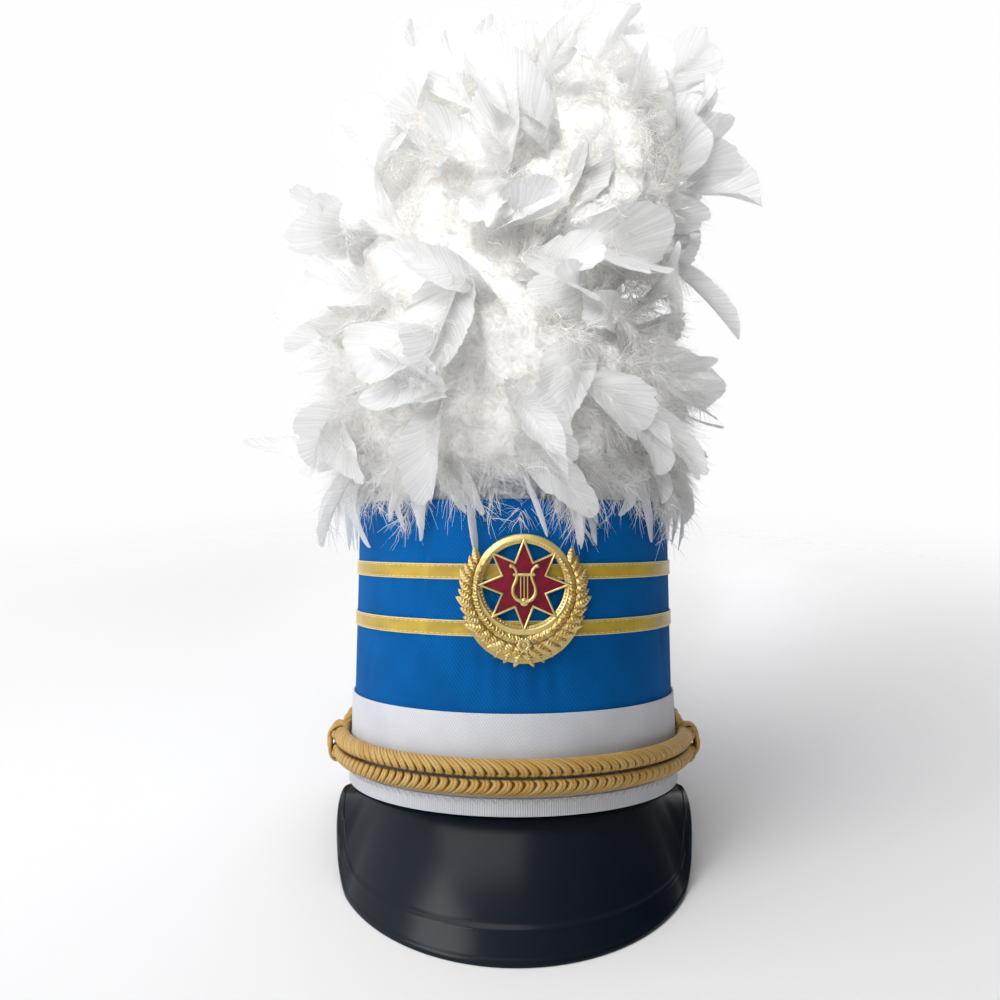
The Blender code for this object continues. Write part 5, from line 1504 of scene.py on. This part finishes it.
def down(feathers, barbs, rng, long, span=(0.02, 1.0), half=0.24, fall=0.14, slants=(25, 75)):
    """Tufts of down: long loose barbs all round a shaft, wavy and limp. They grow on a span of it."""
    count = len(feathers.width)
    order = np.sort(rng.uniform(*span, (count, barbs)), axis=1)
    index = np.round(order * DOWN_STEPS).astype(int)[..., None]
    frames = shaft_frames(feathers, np.linspace(0, 1, DOWN_STEPS + 1))
    base, along, level, face = (np.take_along_axis(grid, index, axis=1) for grid in frames)
    around = rng.uniform(0, 2 * np.pi, (count, barbs, 1))
    slant = np.radians(rng.uniform(*slants, (count, barbs, 1)))
    sideways = level * np.cos(around) + face * np.sin(around)
    heading = along * np.cos(slant) + sideways * np.sin(slant)
    wave_way = unit(np.cross(heading, along))
    size = (rng.uniform(*long, (count, barbs)) * (1 - 0.35 * order))[..., None, None]
    start = rng.uniform(0, 2 * np.pi, (count, barbs))[..., None, None]
    s = np.linspace(0, 1, 4)[:, None]
    lines = (
        base[:, :, None]
        + heading[:, :, None] * size * s
        + along[:, :, None] * size * DOWN_CURL * s**2
        + wave_way[:, :, None] * DOWN_WAVE * size * np.sin(2 * np.pi * s + start) * s
        - UP * fall * size * s**2
    )
    out = unit(rng.normal(size=(count, barbs, 1, 3)))
    across = unit(np.cross(np.gradient(lines, axis=-2), out))
    halves = half * (1 - 0.75 * s) * np.ones((count, barbs, 1, 1))
    return ribbons(lines, across, halves, size * s)


def make_core(feather):
    """The dense down inside the plume, which shows only as white depth between the feathers."""
    rises = np.linspace(0, HEAP_RISES[-1], 90)
    turns = 360 * np.arange(140) / 140
    points = heap_points(rises[:, None], turns)
    middles = heap_middles(rises)[:, None]
    angles = np.radians(turns)
    lumps = np.sin(9 * angles + 31 * rises[:, None]) * np.sin(37 * rises[:, None] - 4 * angles)
    fine = np.sin(21 * angles - 66 * rises[:, None]) * np.sin(80 * rises[:, None] + 6 * angles)
    points = middles + (points - middles) * (CORE_REACH + CORE_LUMPS * (lumps + 0.5 * fine)[..., None])
    foot, top = shrunk_rows(points[0], (0.0, 0.5)), shrunk_rows(points[-1], (0.5, 0.0))
    whole = np.concatenate([foot, points, top])
    u = np.linspace(0, 600, len(turns) + 1)
    patch = lattice(whole, u, run_lengths(whole[:, 0])[:, None], round_columns=True)
    build("plume_core", [patch], feather, ["plume"])


def strayed(feathers, rng, turn, reach):
    """Feathers beside others: their webs turned by a share, and their tips moved by some mm."""
    size = np.linalg.norm(feathers.side, axis=-1, keepdims=True)
    side = feathers.side + rng.normal(0, turn, feathers.side.shape) * size
    return feathers._replace(side=side, tip=feathers.tip + rng.normal(0, reach, feathers.tip.shape))


def make_plume(feather, fluff):
    """The plume: a core of down, flat feathers that are fluffy near their roots, loose tufts and a hem."""
    make_core(packed_down())
    rng = np.random.default_rng(7)
    show, rings = show_feathers(), ring_feathers()
    hangs = rings.tip[:, 2] < PLUME_FOOT + 10
    narrow = np.where(hangs, 0.4, rng.uniform(0.6, 1.25, len(hangs)))
    under = kept_in(strayed(join_feathers([show, rings]), rng, turn=0.4, reach=7.0), rng)
    under_narrow = np.concatenate([np.full(len(show.width), 0.7), narrow * 0.8])
    fill = filling_feathers(56, rng, reach=(40, 66), width=(28, 46), lean=(4, 26), rises=(0.14, 0.84))
    fill = kept_in(fill, rng)
    flats = [*webs(show, rng, rows=56, torn=0.15), *webs(rings, rng, torn=0.3, narrow=narrow)]
    build("plume_flats", [*flats, shafts(show, 0.5), shafts(rings, 0.4)], feather)
    lower = [*webs(under, rng, rows=30, narrow=under_narrow), shafts(under, 0.4)]
    build("plume_flats_under", lower, feather)
    build("plume_flats_fill", [*webs(fill, rng, rows=34), shafts(fill, 0.4)], feather)
    short = down(rings, 130, rng, long=(8, 22), span=(0.1, 0.85))
    long = down(show, 150, rng, long=(8, 20), span=(0.1, 0.55))
    build("plume_fluff", [short, long], fluff)
    between = down(fill, 110, rng, long=(9, 22), span=(0.1, 0.7))
    build("plume_fluff_fill", [between], fluff)
    tufts = filling_feathers(390, rng, reach=(18, 40), width=(10, 12), lean=(8, 60), rises=(0.02, 0.90))
    tufts = kept_in(tufts, rng)
    build("plume_down", [down(tufts, 60, rng, long=(8, 22)), shafts(tufts, 0.2)], fluff)
    strips = hem_feathers(40, rng, hang=(4, 34), width=(5, 9))
    hem = [*webs(strips, rng, rows=24, torn=0.15, late=2.6), shafts(strips, 0.25)]
    build("plume_hem", hem, feather)
    fringe = hem_feathers(190, rng, hang=(-16, 12), width=(8, 10))
    limp = down(fringe, 58, rng, long=(6, 16), half=0.17, fall=0.25, slants=(8, 60))
    build("plume_down_hem", [limp, shafts(fringe, 0.2)], fluff)


# Camera, fitted to the photo: its place in the hat's frame in mm, how far it looks up, and its lens
CAMERA_PLACE = (-7.3, -647.0, 134.0)
CAMERA_PITCH = 1.594
CAMERA_FOCAL = 1.150  # focal length as a share of the frame's width
SENSOR = 36.0

# Softboxes: place, size and the point that each is aimed at in m, power in W, and spread in degrees. The one
# for the plume has a grid that keeps its light off the cloth below
Softbox = namedtuple("Softbox", "name place aim size spread power colour")
SOFTBOXES = (
    Softbox("key", (-1.25, -0.85, 1.30), (0.0, 0.0, 0.22), 1.0, 180, 12.0, "#FFFFFF"),
    Softbox("plume", (-0.25, -1.35, 1.10), (0.0, 0.02, 0.37), 0.3, 14, 0.38, "#FFFFFF"),
    Softbox("fill", (1.30, -0.85, 0.55), (0.0, 0.0, 0.22), 1.2, 180, 0.1, "#F4F8FF"),
    Softbox("top", (-0.40, 0.05, 1.60), (0.0, 0.0, 0.22), 1.2, 180, 8.0, "#FFFFFF"),
    Softbox("rim", (0.50, 1.40, 0.80), (0.0, 0.0, 0.22), 1.0, 180, 1.2, "#FFFFFF"),
)
# Light of the room: full where the backdrop hangs behind the hat, and else falling from left to right. The
# backdrop's edge is given as the sine of the angle away from straight across the view
BACKDROP_EDGE = (0.50, 0.80)
ROOM_LIGHT = (0.95, 0.02)
FLOOR_FADE = (0.30, 0.95)  # distances from the hat between which the floor fades into the backdrop, in m


def make_camera():
    """The camera at the photo's angle to the hat."""
    data = bpy.data.cameras.new("camera")
    data.sensor_width = SENSOR
    data.lens = CAMERA_FOCAL * SENSOR
    data.clip_end = 50
    camera = bpy.data.objects.new("camera", data)
    bpy.context.scene.collection.objects.link(camera)
    looking = Matrix.Rotation(math.radians(90 + CAMERA_PITCH), 4, "X")
    camera.matrix_world = HAT @ Matrix.Translation(Vector(CAMERA_PLACE) * MM) @ looking
    bpy.context.scene.camera = camera


def make_studio():
    """A pale floor that fades into a pale world, under softboxes."""
    sides, reach = 64, 2.0
    edge = [(reach * math.cos(a), reach * math.sin(a), 0) for a in round_angles(sides)]
    mesh = bpy.data.meshes.new("floor")
    mesh.from_pydata(edge, [], [list(range(sides))])
    mesh.materials.append(studio_paper())
    floor = bpy.data.objects.new("floor", mesh)
    bpy.context.scene.collection.objects.link(floor)
    for box in SOFTBOXES:
        data = bpy.data.lights.new(box.name, "AREA")
        data.size = box.size
        data.energy = box.power
        data.color = linear(box.colour)[:3]
        data.spread = math.radians(box.spread)
        light = bpy.data.objects.new(box.name, data)
        bpy.context.scene.collection.objects.link(light)
        light.location = box.place
        aim = Vector(box.aim) - Vector(box.place)
        light.rotation_euler = aim.to_track_quat("-Z", "Y").to_euler()
    world = bpy.data.worlds.new("studio")
    edge_low, edge_high = BACKDROP_EDGE
    left, right = ROOM_LIGHT
    rows = (
        PLACE,
        ("split", "SeparateXYZ", {"Vector": "place.Generated"}),
        ("backdrop", "MapRange", {"Value": "split.Y", "From Min": edge_low, "From Max": edge_high}, SMOOTHLY),
        ("room", "MapRange", {"Value": "split.X", "From Min": -1.0, "To Min": left, "To Max": right}),
        ("strength", "Math", {0: "backdrop.Result", 1: "room.Result"}, {"operation": "MAXIMUM"}),
        ("glow", "Background", {"Color": "#FEFEFF", "Strength": "strength.0"}),
    )
    fill_nodes(world, "OutputWorld", rows)
    bpy.context.scene.world = world
    bpy.context.scene.view_settings.view_transform = "Standard"


def main():
    """Makes the materials, the pieces and the studio."""
    blue = woven_twill("blue_twill", "#0068B4", "#004886", 1.5, 0.78, 0.1)
    white = woven_twill("white_twill", "#E6E7EC", "#C4C6D0", 1.2, 0.8, 0.2)
    yarn = plied_rayon()
    gilt = gilt_casting()
    satin = woven_satin()
    web = bleached_feather("white_web", "#F0F1F3", "#F8F8F7", thin=0.18)
    fluff = bleached_feather("white_down", "#F1F0ED", "#FAF9F6")
    make_crown(blue)
    make_seam(blue)
    make_band(white)
    make_rim_ribbon(ribbed_grosgrain())
    make_rim_stitches(sewing_thread("white_thread", "#B9BCC6"))
    for name in STRIPE_HEIGHTS:
        make_stripe(name, satin)
    make_stripe_stitches(sewing_thread("cream_thread", "#D8C47A"))
    make_peak(moulded_vinyl())
    make_cord(yarn)
    for side, name in ((1, "left"), (-1, "right")):
        make_slide(side, name, yarn)
        make_button(side, name, gilt)
    make_badge(gilt, fired_enamel())
    post = frame["nodes"]["badge_post"]
    post.data.materials.clear()
    post.data.materials.append(gilt)
    make_plume(web, fluff)
    make_camera()
    make_studio()


main()
